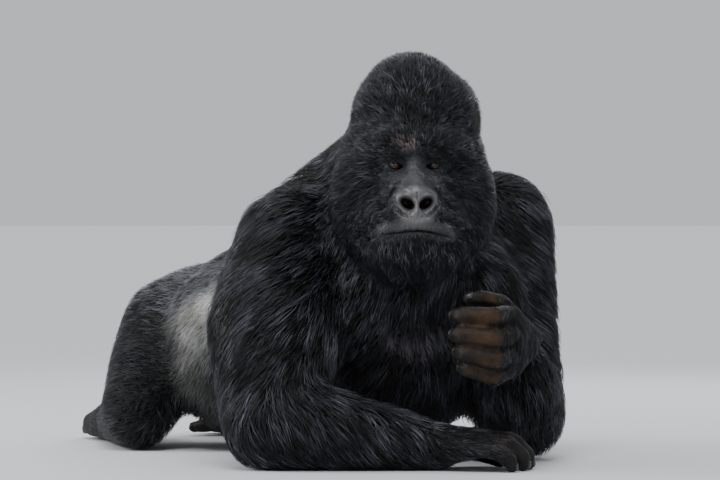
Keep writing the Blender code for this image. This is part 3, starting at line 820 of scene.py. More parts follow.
def marking_fields(places, weights):
    """How silver and how grizzled the animal is at each place: both fade to black at the shoulders."""
    x, y, z = places.T
    shares = dict(zip(REGIONS, weights.T))
    rear, black_parts = (
        sum(shares[kind] * share for kind, share in table.items())
        for table in (GRIZZLED_SHARES, BLACK_SHARES)
    )
    trunk = shares["abdomen"] + shares["thorax"] + shares["pelvis"]
    flank_top = FLANK_TOP - FLANK_FALL * y
    flank = smoothstep(flank_top + 0.012, flank_top - 0.008, z)
    front = smoothstep(0.0, 0.09, y - 0.09 * smoothstep(0.28, 0.12, z))
    # Silver fades lower down: partly the dark belly, partly painted shade on the flank that curves under.
    silver = flank * trunk * front * np.interp(z, *np.array(SILVER_AND_SHADE_BY_HEIGHT).T)
    saddle = trunk * smoothstep(-0.20, 0.06, y) * smoothstep(0.12, 0.28, z) * 0.62
    grizzle = np.maximum(np.maximum(rear, saddle), black_parts)
    x, y, z = (to_head(places) * 1000).T
    front = smoothstep(20, -40, y)
    head = np.full(len(places), 0.045)
    for place, most in GRIZZLED_PATCHES:
        head = np.maximum(head, glow(x, z, place) * front * most)
    return silver, grizzle + head * shares["head"]


def skin_fields(places, shares):
    """Where each kind of bare or special skin lies, and how thin the hair is over it."""
    local = to_head(places)
    x, y, z = (local * 1000).T
    front = smoothstep(-40, -70, y) * shares["head"]
    # The bridge up to the eyes takes part of the nose's grey: grey skin with a painted sheen.
    nose = np.maximum(smoothstep(1.22, 0.80, ring(x, z, NOSE_SKIN)), 0.60 * glow(x, z, NOSE_BRIDGE))
    nose = nose * front
    gap = above_mouth(x, z)
    lip = smoothstep(1.25, 0.15, mouth_ring(x, z, 76, 32, 9)) * np.where(gap > 0, 1, 0.4)
    lip = lip * front * (1 - nose)
    inside_nose = smoothstep(1.05, 0.75, nostril_ring(np.abs(x), z)[0])
    in_mouth = smoothstep(2.8, 1.4, np.abs(gap)) * (np.abs(x - MOUTH_MIDDLE) < 72)
    brow = brow_patch(local) * front
    chest = chest_patch(places) * shares["thorax"]
    bare_face, bare_lips = head_rings(local)
    edge = np.maximum(smoothstep(1.6, 0.85, bare_lips) * 0.85, smoothstep(1.5, 0.95, bare_face) * 0.75)
    hind = shares["thigh"] + shares["shank"]
    return {
        "nose": nose,
        "lip": lip,
        "hollow": np.maximum(inside_nose, in_mouth) * front,
        "brow": brow,
        "face": smoothstep(1.5, 1.0, bare_face) * front,
        # Bare grey skin, lightened as painted light against the shade under the head and arms.
        "chest": chest,
        "ear": shares["ear"],
        "hand": shares["digit"] + shares["hand"] + shares["foot"],
        # Painted shade: the brow's shadow above the eyes, the tuft's dark hair and its shade, and the
        # legs and rump darkened as shade against the rim light.
        "dark": head_shade_and_dark_tuft(local) * shares["head"] + hind * 0.55 + shares["pelvis"] * 0.15,
        "thin_hair": np.clip(brow * 0.58 + chest * 0.92 + edge * front, 0, 0.94),
    }


def worn_and_lit_skin(places, normals, digit):
    """Where the digits' outer skin is worn warm brown, between the knuckle and the tip; partly painted
    light, as only the sides facing out and up take it.
    """
    warm = np.zeros(len(places))
    for name in DIGIT_LINES:
        line = digit_line(name)
        along, away = along_line(places, line)
        middle = np.exp(-(((along / lengths_of(line).sum() - 0.56) / 0.24) ** 2))
        outward = np.array(GAZE @ Vector((0, -1, 0.15)) if name.endswith("left") else HEAD_Z)
        # Painted light: only the sides facing the viewer, or up, are warm; the sides turned away stay
        # darker.
        facing = smoothstep(0.25, 0.90, normals @ outward)
        warm = np.maximum(warm, middle * facing * smoothstep(0.032, 0.018, away) * digit)
    return warm


def clothe(mesh, owners, weights):
    """Store on the skin all that the coat and the skin's colours need to know."""
    places = vertex_array(mesh)
    normals = vertex_array(mesh, "normal")
    shares = dict(zip(REGIONS, weights.T))
    around = Neighbours(mesh)
    lie = on_surface(lie_field(places, owners), normals)
    smooth_normals = around.spread(normals, 6)
    for _ in range(4):
        lie = on_surface(around.spread(lie, 8), unit(smooth_normals))
    silver, grizzle = marking_fields(places, weights)
    fields = {
        "lie": lie,
        "hair_length": length_field(places, weights),
        "silver": around.spread(silver, 2),
        "grizzle": around.spread(grizzle, 4),
        "warm": worn_and_lit_skin(places, normals, shares["digit"]),
        "owner": owners.astype(float),
    }
    for name, values in (fields | skin_fields(places, shares)).items():
        store(mesh, name, values)


# ---------------------------------------------------------------- the skin as a whole


def refine_digits(mesh):
    """Halve the triangles of the toes and of the left fingers' outer side, for their folds."""
    places = vertex_array(mesh)
    outward = vertex_array(mesh, "normal") @ np.array(GAZE @ Vector((0, -1, 0.25)))
    near = np.zeros(len(places), bool)
    for name in DIGIT_LINES:
        if name.endswith("left"):
            along, away = along_line(places, digit_line(name))
            near |= (away < 0.022) & (along > 0.036) & (outward > 0.0)
    for side in SIDES:
        along, _ = on_foot(places, side)
        near |= inside_box(places, f"foot_{side}") & (along > TOE_ROOTS - 0.016)
    refine(mesh, near)


def region_weights(mesh, owners):
    """How much each vertex belongs to each region, fading from one to the next."""
    kinds = np.array([REGIONS.index(region_of(name)) for name in FLESH])
    return Neighbours(mesh).spread(np.eye(len(REGIONS))[kinds[owners]], 12)


def sink_under_coat(mesh):
    """Move the skin inward by the coat's depth, and store the room that leaves for the hair."""
    hull = vertex_array(mesh)
    weights = region_weights(mesh, nearest_nodes(hull))
    around = Neighbours(mesh)
    face = head_zone(to_head(hull))["front"] * share_of(weights, "head")
    places = hull + (around.spread(hull, 14) - hull) * face[:, None]
    set_places(mesh, places)
    normals = around.spread(vertex_array(mesh, "normal"), 4)
    depth = around.spread(coat_depth(places, weights), 4)
    places = around.spread(places - unit(normals) * depth[:, None], 2)
    set_places(mesh, places)
    rise = ((hull - places) * vertex_array(mesh, "normal")).sum(axis=1)
    store(mesh, "hair_rise", around.spread(np.clip(rise, LEAST_RISE, MOST_RISE), 3))


def make_skin(look):
    obj = base_skin(look.fineness)
    mesh = obj.data
    sink_under_coat(mesh)
    refine_digits(mesh)
    sculpt_face(mesh)
    owners = nearest_nodes(vertex_array(mesh))
    crease_digits(mesh, owners)
    part_toes(mesh, owners)
    clothe(mesh, owners, region_weights(mesh, owners))
    mesh.shade_smooth()
    mesh.materials.clear()
    mesh.materials.append(bpy.data.materials["dark leathery skin"])
    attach(obj, BODY)
    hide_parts(*FLESH)


# ---------------------------------------------------------------- growing the coat


class Surface:
    """The skin as arrays, with what each place on it says about the hair that grows there."""

    def __init__(self, obj):
        mesh = obj.data
        self.places = vertex_array(mesh)
        self.normals = vertex_array(mesh, "normal")
        self.faces = triangles_of(mesh)
        self.tree = BVHTree.FromPolygons(self.places.tolist(), self.faces.tolist())
        names = ("lie", "hair_length", "hair_rise", "silver", "grizzle", "thin_hair", "dark")
        self.fields = {name: stored(mesh, name) for name in names}
        self.fields |= {"place": self.places, "normal": self.normals}
        corners = self.places[self.faces]
        cross = np.cross(corners[:, 1] - corners[:, 0], corners[:, 2] - corners[:, 0])
        self.areas = np.linalg.norm(cross, axis=1) / 2

    def read(self, name, faces, shares):
        """A per-vertex value at places given by triangle and corner shares."""
        corners = self.fields[name][self.faces[faces]]
        if corners.ndim == 3:
            return (corners * shares[:, :, None]).sum(axis=1)
        return (corners * shares).sum(axis=1)

    def mesh_of(self, chosen, name):
        """A mesh of the chosen triangles, and the skin's vertices that it uses."""
        used, index = np.unique(self.faces[chosen], return_inverse=True)
        mesh = bpy.data.meshes.new(name)
        mesh.from_pydata(self.places[used].tolist(), [], index.reshape(-1, 3).tolist())
        return mesh, used

    def nearest(self, points):
        """The nearest places on the skin, and their triangles and corner shares."""
        hits = [self.tree.find_nearest(point) for point in points.tolist()]
        faces = np.array([hit[2] for hit in hits])
        places = np.array([hit[0] for hit in hits])
        a, b, c = (self.places[self.faces[faces, corner]] for corner in range(3))
        ab, ac, ap = b - a, c - a, places - a
        d00, d01, d11 = (ab * ab).sum(1), (ab * ac).sum(1), (ac * ac).sum(1)
        d20, d21 = (ap * ab).sum(1), (ap * ac).sum(1)
        bottom = np.maximum(d00 * d11 - d01 * d01, 1e-18)
        v = np.clip((d11 * d20 - d01 * d21) / bottom, 0, 1)
        w = np.clip((d00 * d21 - d01 * d20) / bottom, 0, 1 - v)
        return places, faces, np.stack([1 - v - w, v, w], axis=1)


def scatter(surface, chance, count, rng):
    """Root places spread evenly by chance per triangle, as triangles and corner shares."""
    total = np.cumsum(chance * surface.areas)
    picks = (np.arange(count) + rng.random(count)) / count * total[-1]
    faces = np.searchsorted(total, picks).clip(0, len(total) - 1)
    r = np.sqrt(rng.random(count))
    s = rng.random(count)
    return faces, np.stack([1 - r, r * (1 - s), r * s], axis=1)


def turned(vectors, axes, angles):
    """Turn each unit vector about its unit axis, to which it is square."""
    across = np.cross(axes, vectors)
    return vectors * np.cos(angles)[:, None] + across * np.sin(angles)[:, None]


ROOT_SUNK = 0.0006
TIP_CLEAR = 0.0004  # how far even the lowest hair's end stands off the skin
DROOP = 0.10  # how far a tip hangs down, as a share of the hair's length
LENGTH_SPREAD = (0.70, 1.20)
WIDTH_SPREAD = (0.7, 1.25)
LOOSE_SHARE = 0.05  # hairs that stand up out of the coat
FLOOR_CLEAR = 0.0008  # no hair goes lower than this over the floor
HAIR_TAPER = {2: (0.92, 0.62), 3: (0.9, 1.0, 0.66)}  # width at each ring, by the hair's segments
HAIR_SIDES = ((0, 1), (1, 2), (2, 0))  # the corners of a ring that each side runs between
# How far a hair's lower edges and its ridge lie from its spine, as shares of its width.
HAIR_BELLY = 0.18
HAIR_RIDGE = 0.34
MAP_PATCH = 0.003  # width of one hair's patch on the map
MAP_FOLD = math.radians(66)  # the unwrap is cut where the skin turns by more than this


def grow(surface, faces, shares, segments, rng, wildness):
    """Paths of hairs from their roots along the lie of the coat, and the skin's normals there."""
    count = len(faces)
    place = surface.read("place", faces, shares)
    normal = unit(surface.read("normal", faces, shares))
    length = surface.read("hair_length", faces, shares) * rng.uniform(*LENGTH_SPREAD, count)
    # Each hair keeps to its own layer of the coat, and more of them lie near the top.
    layer = 0.40 + 0.68 * rng.random(count) ** 0.7
    loose = rng.random(count) < LOOSE_SHARE
    layer[loose] *= 1.25
    angle = rng.normal(0, wildness, count)
    bend = rng.normal(0, wildness * 0.8, count)
    paths = [place - normal * ROOT_SUNK]
    normals = [normal]
    for step in range(1, segments + 1):
        share = step / segments
        lie = on_surface(surface.read("lie", faces, shares), normal)
        lie = turned(lie, normal, angle + bend * share)
        place, faces, shares = surface.nearest(place + lie * (length / segments)[:, None])
        normal = unit(surface.read("normal", faces, shares))
        rise = surface.read("hair_rise", faces, shares) * layer * (1 - (1 - share) ** 2) + TIP_CLEAR
        droop = DOWNWARD * (length * DROOP * share**2)[:, None]
        droop -= normal * np.minimum((droop * normal).sum(axis=1), 0)[:, None]
        paths.append(place + normal * rise[:, None] + droop)
        normals.append(normal)
    return np.stack(paths, axis=1), np.stack(normals, axis=1)


def gather(paths, rng, lock_size, strength):
    """Draw the hairs' ends towards those of a leader nearby, so that they hang in locks."""
    leaders = rng.choice(len(paths), max(1, len(paths) // lock_size), replace=False)
    tree = KDTree(len(leaders))
    for index in leaders.tolist():
        tree.insert(paths[index, 0].tolist(), index)
    tree.balance()
    owner = np.array([tree.find(root)[1] for root in paths[:, 0].tolist()])
    pull = strength * rng.uniform(0.5, 1.0, len(paths))
    steps = np.linspace(0, 1, paths.shape[1])
    weight = pull[:, None] * steps[None, :] ** 1.3
    offset = (paths[:, 0] - paths[owner, 0])[:, None, :] * 0.3
    target = paths[owner] + offset
    return paths + (target - paths) * weight[:, :, None], owner


def hair_corners(paths, normals, widths):
    """The corners of each hair: a left, a right and a ridge corner at every ring, then the tip."""
    rings = paths.shape[1] - 1
    ahead = np.empty_like(paths)
    ahead[:, 1:-1] = paths[:, 2:] - paths[:, :-2]
    ahead[:, 0] = paths[:, 1] - paths[:, 0]
    ahead[:, -1] = paths[:, -1] - paths[:, -2]
    ahead = unit(ahead)[:, :-1]
    across = unit(np.cross(ahead, normals[:, :-1]))
    above = np.cross(across, ahead)
    width = widths[:, None, None] * np.array(HAIR_TAPER[rings])[None, :, None]
    spine = paths[:, :-1]
    half = across * width * 0.5
    belly = above * width * HAIR_BELLY
    ridge = spine + above * width * HAIR_RIDGE
    rows = np.stack([spine - half - belly, spine + half - belly, ridge], axis=2)
    corners = np.concatenate([rows.reshape(len(paths), rings * 3, 3), paths[:, -1:]], axis=1)
    corners[:, :, 2] = np.maximum(corners[:, :, 2], FLOOR_CLEAR)
    return corners


def hair_faces(rings):
    """One hair's faces, by the numbers of their corners: its root, its sides and its tip."""
    faces = [(0, 1, 2)]
    for low in range(0, rings * 3, 3):
        high = low + 3
        for first, second in HAIR_SIDES:
            far = (high + first, high + second) if high < rings * 3 else (high,)
            faces.append((low + second, low + first, *far))
    return faces


def hair_patch(along, rings):
    """One hair's corners as a small patch of the map, round its root's own place."""
    patch_u = np.append(np.tile((-1.0, 1.0, 0.0), rings) * (1 - 0.5 * along[:-1]), 0.0) / 2
    patch_v = along + np.append(np.tile((0.0, 0.0, 0.12), rings), 0.0) - 0.5
    return np.stack([patch_u, patch_v], axis=1) * MAP_PATCH


def solid_hairs(name, paths, normals, widths, uv_roots, values):
    """One mesh of closed three-sided hairs, each tapering to a point."""
    count, rings = paths.shape[0], paths.shape[1] - 1
    corners = hair_corners(paths, normals, widths)
    per_hair = corners.shape[1]
    faces = hair_faces(rings)
    flat = np.array([index for face in faces for index in face], np.int32)
    starts = np.cumsum([0] + [len(face) for face in faces[:-1]])
    loops = (flat[None, :] + (np.arange(count) * per_hair)[:, None]).ravel()
    begin = (starts[None, :] + (np.arange(count) * len(flat))[:, None]).ravel()
    mesh = bpy.data.meshes.new(name)
    mesh.vertices.add(count * per_hair)
    mesh.vertices.foreach_set("co", corners.astype(np.float32).ravel())
    mesh.loops.add(len(loops))
    mesh.loops.foreach_set("vertex_index", loops.astype(np.int32))
    mesh.polygons.add(len(begin))
    mesh.polygons.foreach_set("loop_start", begin.astype(np.int32))
    mesh.update(calc_edges=True)
    mesh.validate()
    along = np.append(np.repeat(np.arange(rings) / rings, 3), 1.0)
    uv = (uv_roots[:, None, :] + hair_patch(along, rings)[None, :, :]).reshape(-1, 2)[loops]
    layer = mesh.uv_layers.new(name="OFBake")
    layer.data.foreach_set("uv", uv.astype(np.float32).ravel())
    for key, value in values.items():
        store(mesh, key, np.repeat(value, per_hair))
    store(mesh, "along", np.tile(along, count))
    mesh.shade_smooth()
    return new_object(name, mesh)


def unwrap(surface, chosen):
    """Corner places of the chosen triangles on a flat unwrap that fills the unit square."""
    mesh, _ = surface.mesh_of(chosen, "unwrap")
    mesh.uv_layers.new(name="flat")
    obj = new_object("unwrap", mesh)
    for other in bpy.context.selected_objects:
        other.select_set(False)
    obj.select_set(True)
    bpy.context.view_layer.objects.active = obj
    bpy.ops.object.mode_set(mode="EDIT")
    bpy.ops.mesh.select_all(action="SELECT")
    bpy.ops.uv.smart_project(angle_limit=MAP_FOLD, island_margin=0.002)
    bpy.ops.object.mode_set(mode="OBJECT")
    corners = np.empty(len(chosen) * 6, np.float32)
    obj.data.uv_layers[0].data.foreach_get("uv", corners)
    corners = corners.reshape(-1, 2)
    bpy.data.objects.remove(obj)
    bpy.data.meshes.remove(mesh)
    low, high = corners.min(axis=0), corners.max(axis=0)
    corners = MAP_PATCH + (corners - low) / (high - low) * (1 - 2 * MAP_PATCH)
    return corners.reshape(-1, 3, 2)


# ---------------------------------------------------------------- the coat's pieces

# Each piece: hairs, segments per hair, root width in metres, wildness, lock size, lock strength, slot.
COAT_PIECES = {
    "crown_coat": (14500, 2, 0.00145, 0.26, 8, 0.45, "coat"),
    "cheek_and_beard_coat": (18500, 2, 0.00130, 0.34, 6, 0.40, "coat"),
    "neck_coat": (7800, 3, 0.00175, 0.18, 14, 0.58, "coat"),
    "back_coat": (6200, 3, 0.00170, 0.16, 14, 0.50, "grey_coat"),
    "chest_coat": (4200, 3, 0.00165, 0.22, 14, 0.55, "coat"),
    "right_arm_coat": (12000, 3, 0.00172, 0.17, 16, 0.60, "coat"),
    "left_arm_coat": (10800, 3, 0.00172, 0.17, 16, 0.60, "coat"),
    "flank_coat": (12000, 2, 0.00135, 0.26, 6, 0.35, "silver_coat"),
    "rump_coat": (12500, 2, 0.00140, 0.28, 6, 0.35, "grey_coat"),
    "leg_coat": (16500, 2, 0.00135, 0.32, 6, 0.35, "grey_coat"),
    "hand_and_foot_coat": (8500, 2, 0.00115, 0.26, 6, 0.35, "coat"),
}
# Each slot's finish, and how rough it is.
COAT_FINISHES = {
    "coat": ("black guard hair", 0.40),
    "grey_coat": ("grizzled guard hair", 0.45),
    "silver_coat": ("silver guard hair", 0.50),
}
ANKLE_HAIR = 0.062  # how far the shank's hair runs onto the foot
KNUCKLE_HAIR = 0.057  # how far the hair of the hand's back reaches along the fingers
CHEST_FRONT = -0.25  # the chest's coat grows ahead of this
CHEST_TOP = 0.40
CROWN_LOW = 0.052  # the crown's coat grows above this and behind the next, on the head
CROWN_FRONT = 0.050
UNDERSIDE = 0.010  # below this height, what faces the floor is bare
LOCK_TONE = 0.62  # how far a hair takes the tone of its lock
COAT_OF = {
    "neck": "neck_coat",
    "thorax": "back_coat",
    "abdomen": "flank_coat",
    "pelvis": "rump_coat",
    "thigh": "leg_coat",
    "shank": "leg_coat",
    "hand": "hand_and_foot_coat",
    "head": "cheek_and_beard_coat",
}


def piece_of(places, owners, normals):
    """The coat piece that grows at each vertex, or none where the skin is bare."""
    pieces = np.full(len(places), "", dtype=object)
    local = to_head(places)
    face, lips = head_rings(local)
    for number, name in enumerate(FLESH):
        mine = owners == number
        kind = region_of(name)
        side = name.rsplit("_", 1)[-1]
        pieces[mine] = COAT_OF.get(kind, "")
        if kind == "digit":
            along, _ = along_line(places, digit_line(name))
            pieces[mine & (along < KNUCKLE_HAIR)] = "hand_and_foot_coat"
        elif kind == "head":
            pieces[mine & ((local[:, 2] > CROWN_LOW) | (local[:, 1] > CROWN_FRONT))] = "crown_coat"
            pieces[mine & ((face < 0.95) | (lips < 0.85))] = ""
        elif kind == "thorax":
            front = (places[:, 2] < CHEST_TOP) & (places[:, 1] < CHEST_FRONT)
            pieces[mine & front] = "chest_coat"
        elif kind in ("upper_arm", "forearm"):
            pieces[mine] = f"{side}_arm_coat"
        elif kind == "foot":
            ankle = np.array(joint(f"shank_{side}", name))
            near = np.linalg.norm(places - ankle, axis=1) < ANKLE_HAIR
            pieces[mine & near] = "hand_and_foot_coat"
        elif name == "ear_right":
            pieces[mine] = "crown_coat"
    pieces[(places[:, 2] < UNDERSIDE) & (normals[:, 2] < -0.5)] = ""
    return pieces


def grow_piece(surface, name, own, look):
    """One piece of the coat, with its markings and its map."""
    count, segments, width, wildness, lock, strength, slot = COAT_PIECES[name]
    rng = np.random.default_rng(sum(name.encode()))
    mine = own[surface.faces[:, 0]]
    chosen = np.flatnonzero(mine)
    length = surface.fields["hair_length"][surface.faces].mean(axis=1)
    kept = 1 - surface.fields["thin_hair"][surface.faces].mean(axis=1)
    chance = np.where(mine, kept / np.maximum(length, 0.008) ** 0.8, 0)
    faces, shares = scatter(surface, chance, int(count * look.fullness), rng)
    corners = unwrap(surface, chosen)
    place_in_map = np.full(len(surface.faces), -1)
    place_in_map[chosen] = np.arange(len(chosen))
    uv_roots = (corners[place_in_map[faces]] * shares[:, :, None]).sum(axis=1)
    values = {field: surface.read(field, faces, shares) for field in ("silver", "grizzle", "dark")}
    paths, normals = grow(surface, faces, shares, segments, rng, wildness)
    paths, leader = gather(paths, rng, lock, strength)
    own_tone = rng.random(len(faces))
    tone = own_tone * (1 - LOCK_TONE) + own_tone[leader] * LOCK_TONE
    values["tone"] = tone.argsort().argsort() / len(tone)
    widths = width * look.hair_width * rng.uniform(*WIDTH_SPREAD, len(paths))
    obj = solid_hairs(name, paths, normals, widths, uv_roots, values)
    obj.data.materials.append(bpy.data.materials[COAT_FINISHES[slot][0]])
    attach(obj, BODY)


# ---------------------------------------------------------------- short hair of the face

STUBBLE_INPUTS = (
    ("Skin", "NodeSocketGeometry", None),
    ("Hairs per square metre", "NodeSocketFloat", 260000.0),
    ("Hair length", "NodeSocketFloat", 0.0050),
    ("Hair width", "NodeSocketFloat", 0.0004),
    ("Lift", "NodeSocketFloat", 0.38),
    ("Seed", "NodeSocketInt", 7),
)


def stubble_tree(material):
    """Fine short hairs over the face: scattered, laid along the coat and made real."""
    tree = bpy.data.node_groups.new("face_stubble", "GeometryNodeTree")
    for name, kind, default in STUBBLE_INPUTS:
        socket = tree.interface.new_socket(name, in_out="INPUT", socket_type=kind)
        if default is not None:
            socket.default_value = default
    tree.interface.new_socket("Stubble", in_out="OUTPUT", socket_type="NodeSocketGeometry")
    given = add_node(tree, "NodeGroupInput").outputs
    kept = {}
    for name in ("stubble", "lie", "root_map", "hair_map"):
        kind = "FLOAT" if name == "stubble" else "FLOAT_VECTOR"
        kept[name] = add_node(tree, "GeometryNodeInputNamedAttribute", {"Name": name}, data_type=kind)
    density = {0: kept["stubble"], 1: given["Hairs per square metre"]}
    points = add_node(
        tree,
        "GeometryNodeDistributePointsOnFaces",
        {
            "Mesh": given["Skin"],
            "Density": add_node(tree, "ShaderNodeMath", density, operation="MULTIPLY"),
            "Seed": given["Seed"],
        },
        distribute_method="RANDOM",
    )
    raised = {0: points.outputs["Normal"], "Scale": given["Lift"]}
    scatter_turn = {0: (-0.22,) * 3, 1: (0.22,) * 3, "Seed": given["Seed"]}
    leaning = kept["lie"]
    for sway in (
        add_node(tree, "ShaderNodeVectorMath", raised, operation="SCALE"),
        add_node(tree, "FunctionNodeRandomValue", scatter_turn, data_type="FLOAT_VECTOR"),
    ):
        leaning = add_node(tree, "ShaderNodeVectorMath", {0: leaning, 1: sway}, operation="ADD")
    hair = add_node(
        tree,
        "GeometryNodeMeshCone",
        {
            "Vertices": 3,
            "Radius Top": 0.0,
            "Radius Bottom": given["Hair width"],
            "Depth": given["Hair length"],
        },
        fill_type="NGON",
    )
    own_map = add_node(
        tree,
        "GeometryNodeStoreNamedAttribute",
        {"Geometry": hair, "Name": "hair_map", "Value": hair.outputs["UV Map"]},
        data_type="FLOAT2",
        domain="CORNER",
    )
    size = {2: 0.55, 3: 1.25, "Seed": given["Seed"]}
    placed = add_node(
        tree,
        "GeometryNodeInstanceOnPoints",
        {
            "Points": points,
            "Instance": own_map,
            "Rotation": add_node(
                tree, "FunctionNodeAlignRotationToVector", {"Vector": leaning}, axis="Z"
            ),
            "Scale": add_node(tree, "FunctionNodeRandomValue", size, data_type="FLOAT").outputs[1],
        },
    )
    real = add_node(tree, "GeometryNodeRealizeInstances", {"Geometry": placed})
    place = kept["hair_map"]
    for operation, inputs in (
        ("SUBTRACT", {1: (0.5, 0.5, 0.0)}),
        ("SCALE", {"Scale": MAP_PATCH}),
        ("ADD", {1: kept["root_map"]}),
    ):
        place = add_node(tree, "ShaderNodeVectorMath", {0: place} | inputs, operation=operation)
    mapped = add_node(
        tree,
        "GeometryNodeStoreNamedAttribute",
        {"Geometry": real, "Name": "OFBake", "Value": place},
        data_type="FLOAT2",
        domain="CORNER",
    )
    finished = add_node(tree, "GeometryNodeSetMaterial", {"Geometry": mapped, "Material": material})
    add_node(tree, "NodeGroupOutput", {"Stubble": finished})
    return tree


def stubble_share(local):
    """How thick the short hair is: none on the nose, the eyes and the mouth's line."""
    face, lips = head_rings(local)
    x, y, z = (local * 1000).T
    near = smoothstep(-35, -60, y) * smoothstep(100, 60, z)
    share = near * smoothstep(2.2, 1.1, np.minimum(face, lips))
    share = share * (1 - smoothstep(1.3, 1.0, ring(x, z, HAIRLESS_NOSE)))
    share = share * (1 - 0.8 * glow(x, z, HAIRLESS_BRIDGE))
    share = share * (1 - smoothstep(1.5, 1.0, ring(np.abs(x), z, HAIRLESS_EYE)))
    return share * (1 - smoothstep(4, 2, np.abs(above_mouth(x, z))))


def grow_stubble(surface, look):
    """Short hairs on the bare face, the lips and the brow, by Geometry Nodes."""
    share = stubble_share(to_head(surface.places))
    chosen = np.flatnonzero(share[surface.faces].max(axis=1) > 0.02)
    mesh, used = surface.mesh_of(chosen, "stubble_base")
    mesh.shade_smooth()
    store(mesh, "stubble", share[used])
    store(mesh, "lie", surface.fields["lie"][used])
    layer = mesh.uv_layers.new(name="root_map")
    layer.data.foreach_set("uv", unwrap(surface, chosen).astype(np.float32).ravel())
    obj = new_object("face_stubble", mesh)
    modifier = obj.modifiers.new("stubble", "NODES")
    tree = stubble_tree(bpy.data.materials["short face hair"])
    modifier.node_group = tree
    sockets = {item.name: item.identifier for item in tree.interface.items_tree}
    modifier[sockets["Hair length"]] = look.stubble_length
    bake_modifiers(obj)
    for name in [layer.name for layer in obj.data.uv_layers if layer.name != "OFBake"]:
        obj.data.uv_layers.remove(obj.data.uv_layers[name])
    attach(obj, BODY)


# ---------------------------------------------------------------- eyes and nails

IRIS_RADIUS = 0.0058
PUPIL_RADIUS = 0.0020
CORNEA_RISE = 0.0009
CORNEA_EDGE = (0.62, 0.15)  # where the bulge begins and is full, as shares of the eyeball's radius
SOCKET_GAP = 0.0002
WHITE_SUNK = 0.0007  # how far the white lies inside the lids beside the bulge


def make_eye(side):
    """An eyeball with its clear bulge, turned to look straight ahead."""
    bm = bmesh.new()
    bmesh.ops.create_uvsphere(bm, u_segments=48, v_segments=48, radius=1.0)
    mesh = mesh_of(bm, f"eyeball_{side}")
    round_places = vertex_array(mesh)
    off_axis = np.hypot(round_places[:, 0], round_places[:, 1])
    ahead = round_places[:, 2]
    bulge = smoothstep(*CORNEA_EDGE, off_axis)
    radius = EYE_RADIUS - SOCKET_GAP + CORNEA_RISE * bulge * (ahead > 0)
    radius = radius - WHITE_SUNK * smoothstep(0.2, 0.6, ahead) * (1 - bulge)
    store(mesh, "off_axis", np.where(ahead > 0, off_axis * EYE_RADIUS, EYE_RADIUS))
    gaze_axes = np.array([HEAD_X, HEAD_Z, -HEAD_Y])
    set_places(mesh, round_places * radius[:, None] @ gaze_axes + np.array(EYES[side]))
    mesh.shade_smooth()
    mesh.materials.append(bpy.data.materials["wet eyeball"])
    obj = new_object(f"eyeball_{side}", mesh)
    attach(obj, BODY)
    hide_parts(f"eye_{side}")


NAIL_LENGTH = 0.0135
NAIL_ROOT = -0.0060  # the nail starts this far behind the centre of the digit's end
NAIL_HALF_ANGLE = math.radians(52)
NAIL_THICK = 0.0011
NAIL_GRID = 12


def nail_frame(name, radius):
    """Place, direction, upward side and radius of a digit's end."""
    line = digit_line(name)
    along = line[3] - line[2]
    along /= np.linalg.norm(along)
    if name == "thumb_digit_left":
        outward = np.array(GAZE @ Vector((-0.1, -0.72, 0.70)))
    else:
        outward = line[2] - (line[1] + line[3]) / 2
    outward = outward - along * (outward @ along)
    return line[3], along, outward / np.linalg.norm(outward), radius / 1000


def nail_point(place, along, outward, radius, u, v):
    """A place on a nail: u runs from side to side, from -1 to 1, and v from its root to its edge."""
    start = NAIL_ROOT + 0.0030 * u * u
    end = start + NAIL_LENGTH - 0.0055 * u * u
    lift = radius + 0.0003 - 0.0032 * max(v - 0.35, 0) ** 2 / 0.42 - 0.0008 * (v < 0.05)
    angle = u * NAIL_HALF_ANGLE
    across = np.cross(outward, along)
    point = place + along * (start + (end - start) * v) + outward * math.cos(angle) * lift
    return point + across * math.sin(angle) * lift * 0.82


def make_nails():
    """A curved plate on the end of each digit, with a rounded free edge."""
    joined = bmesh.new()
    steps = [step / NAIL_GRID for step in range(NAIL_GRID + 1)]
    for name, tip_radius in zip(DIGIT_LINES, TIP_RADII):
        end = nail_frame(name, tip_radius)
        rows = [[joined.verts.new(nail_point(*end, u * 2 - 1, v)) for u in steps] for v in steps]
        for first, second in zip(rows, rows[1:]):
            for turn in range(NAIL_GRID):
                joined.faces.new((first[turn], second[turn], second[turn + 1], first[turn + 1]))
    bmesh.ops.recalc_face_normals(joined, faces=joined.faces)
    obj = new_object("nails", mesh_of(joined, "nails"))
    solid = obj.modifiers.new("plate", "SOLIDIFY")
    solid.thickness = NAIL_THICK
    solid.offset = 0
    bake_modifiers(obj)
    obj.data.shade_smooth()
    obj.data.materials.clear()
    obj.data.materials.append(bpy.data.materials["horn of the nails"])
    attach(obj, BODY)


# ---------------------------------------------------------------- finishes


def add_node(tree, kind, inputs=None, **settings):
    """Add a node with its settings; an input is a value, an output socket or a node's first output."""
    made = tree.nodes.new(kind)
    for name, value in settings.items():
        setattr(made, name, value)
    for socket, value in (inputs or {}).items():
        if isinstance(value, bpy.types.Node):
            value = value.outputs[0]
        if isinstance(value, bpy.types.NodeSocket):
            tree.links.new(value, made.inputs[socket])
        else:
            made.inputs[socket].default_value = value
    return made


def rgba(colour):
    return (*tuple(colour)[:3], 1.0)


def new_finish(name, stored_values=()):
    """A new material, its tree, its places on the model, and the values stored on the piece."""
    material = bpy.data.materials.new(name)
    material.use_nodes = True
    tree = material.node_tree
    tree.nodes.clear()
    place = add_node(tree, "ShaderNodeTexCoord").outputs["Object"]
    read = {
        value: add_node(tree, "ShaderNodeAttribute", attribute_name=value).outputs["Fac"]
        for value in stored_values
    }
    return tree, place, read


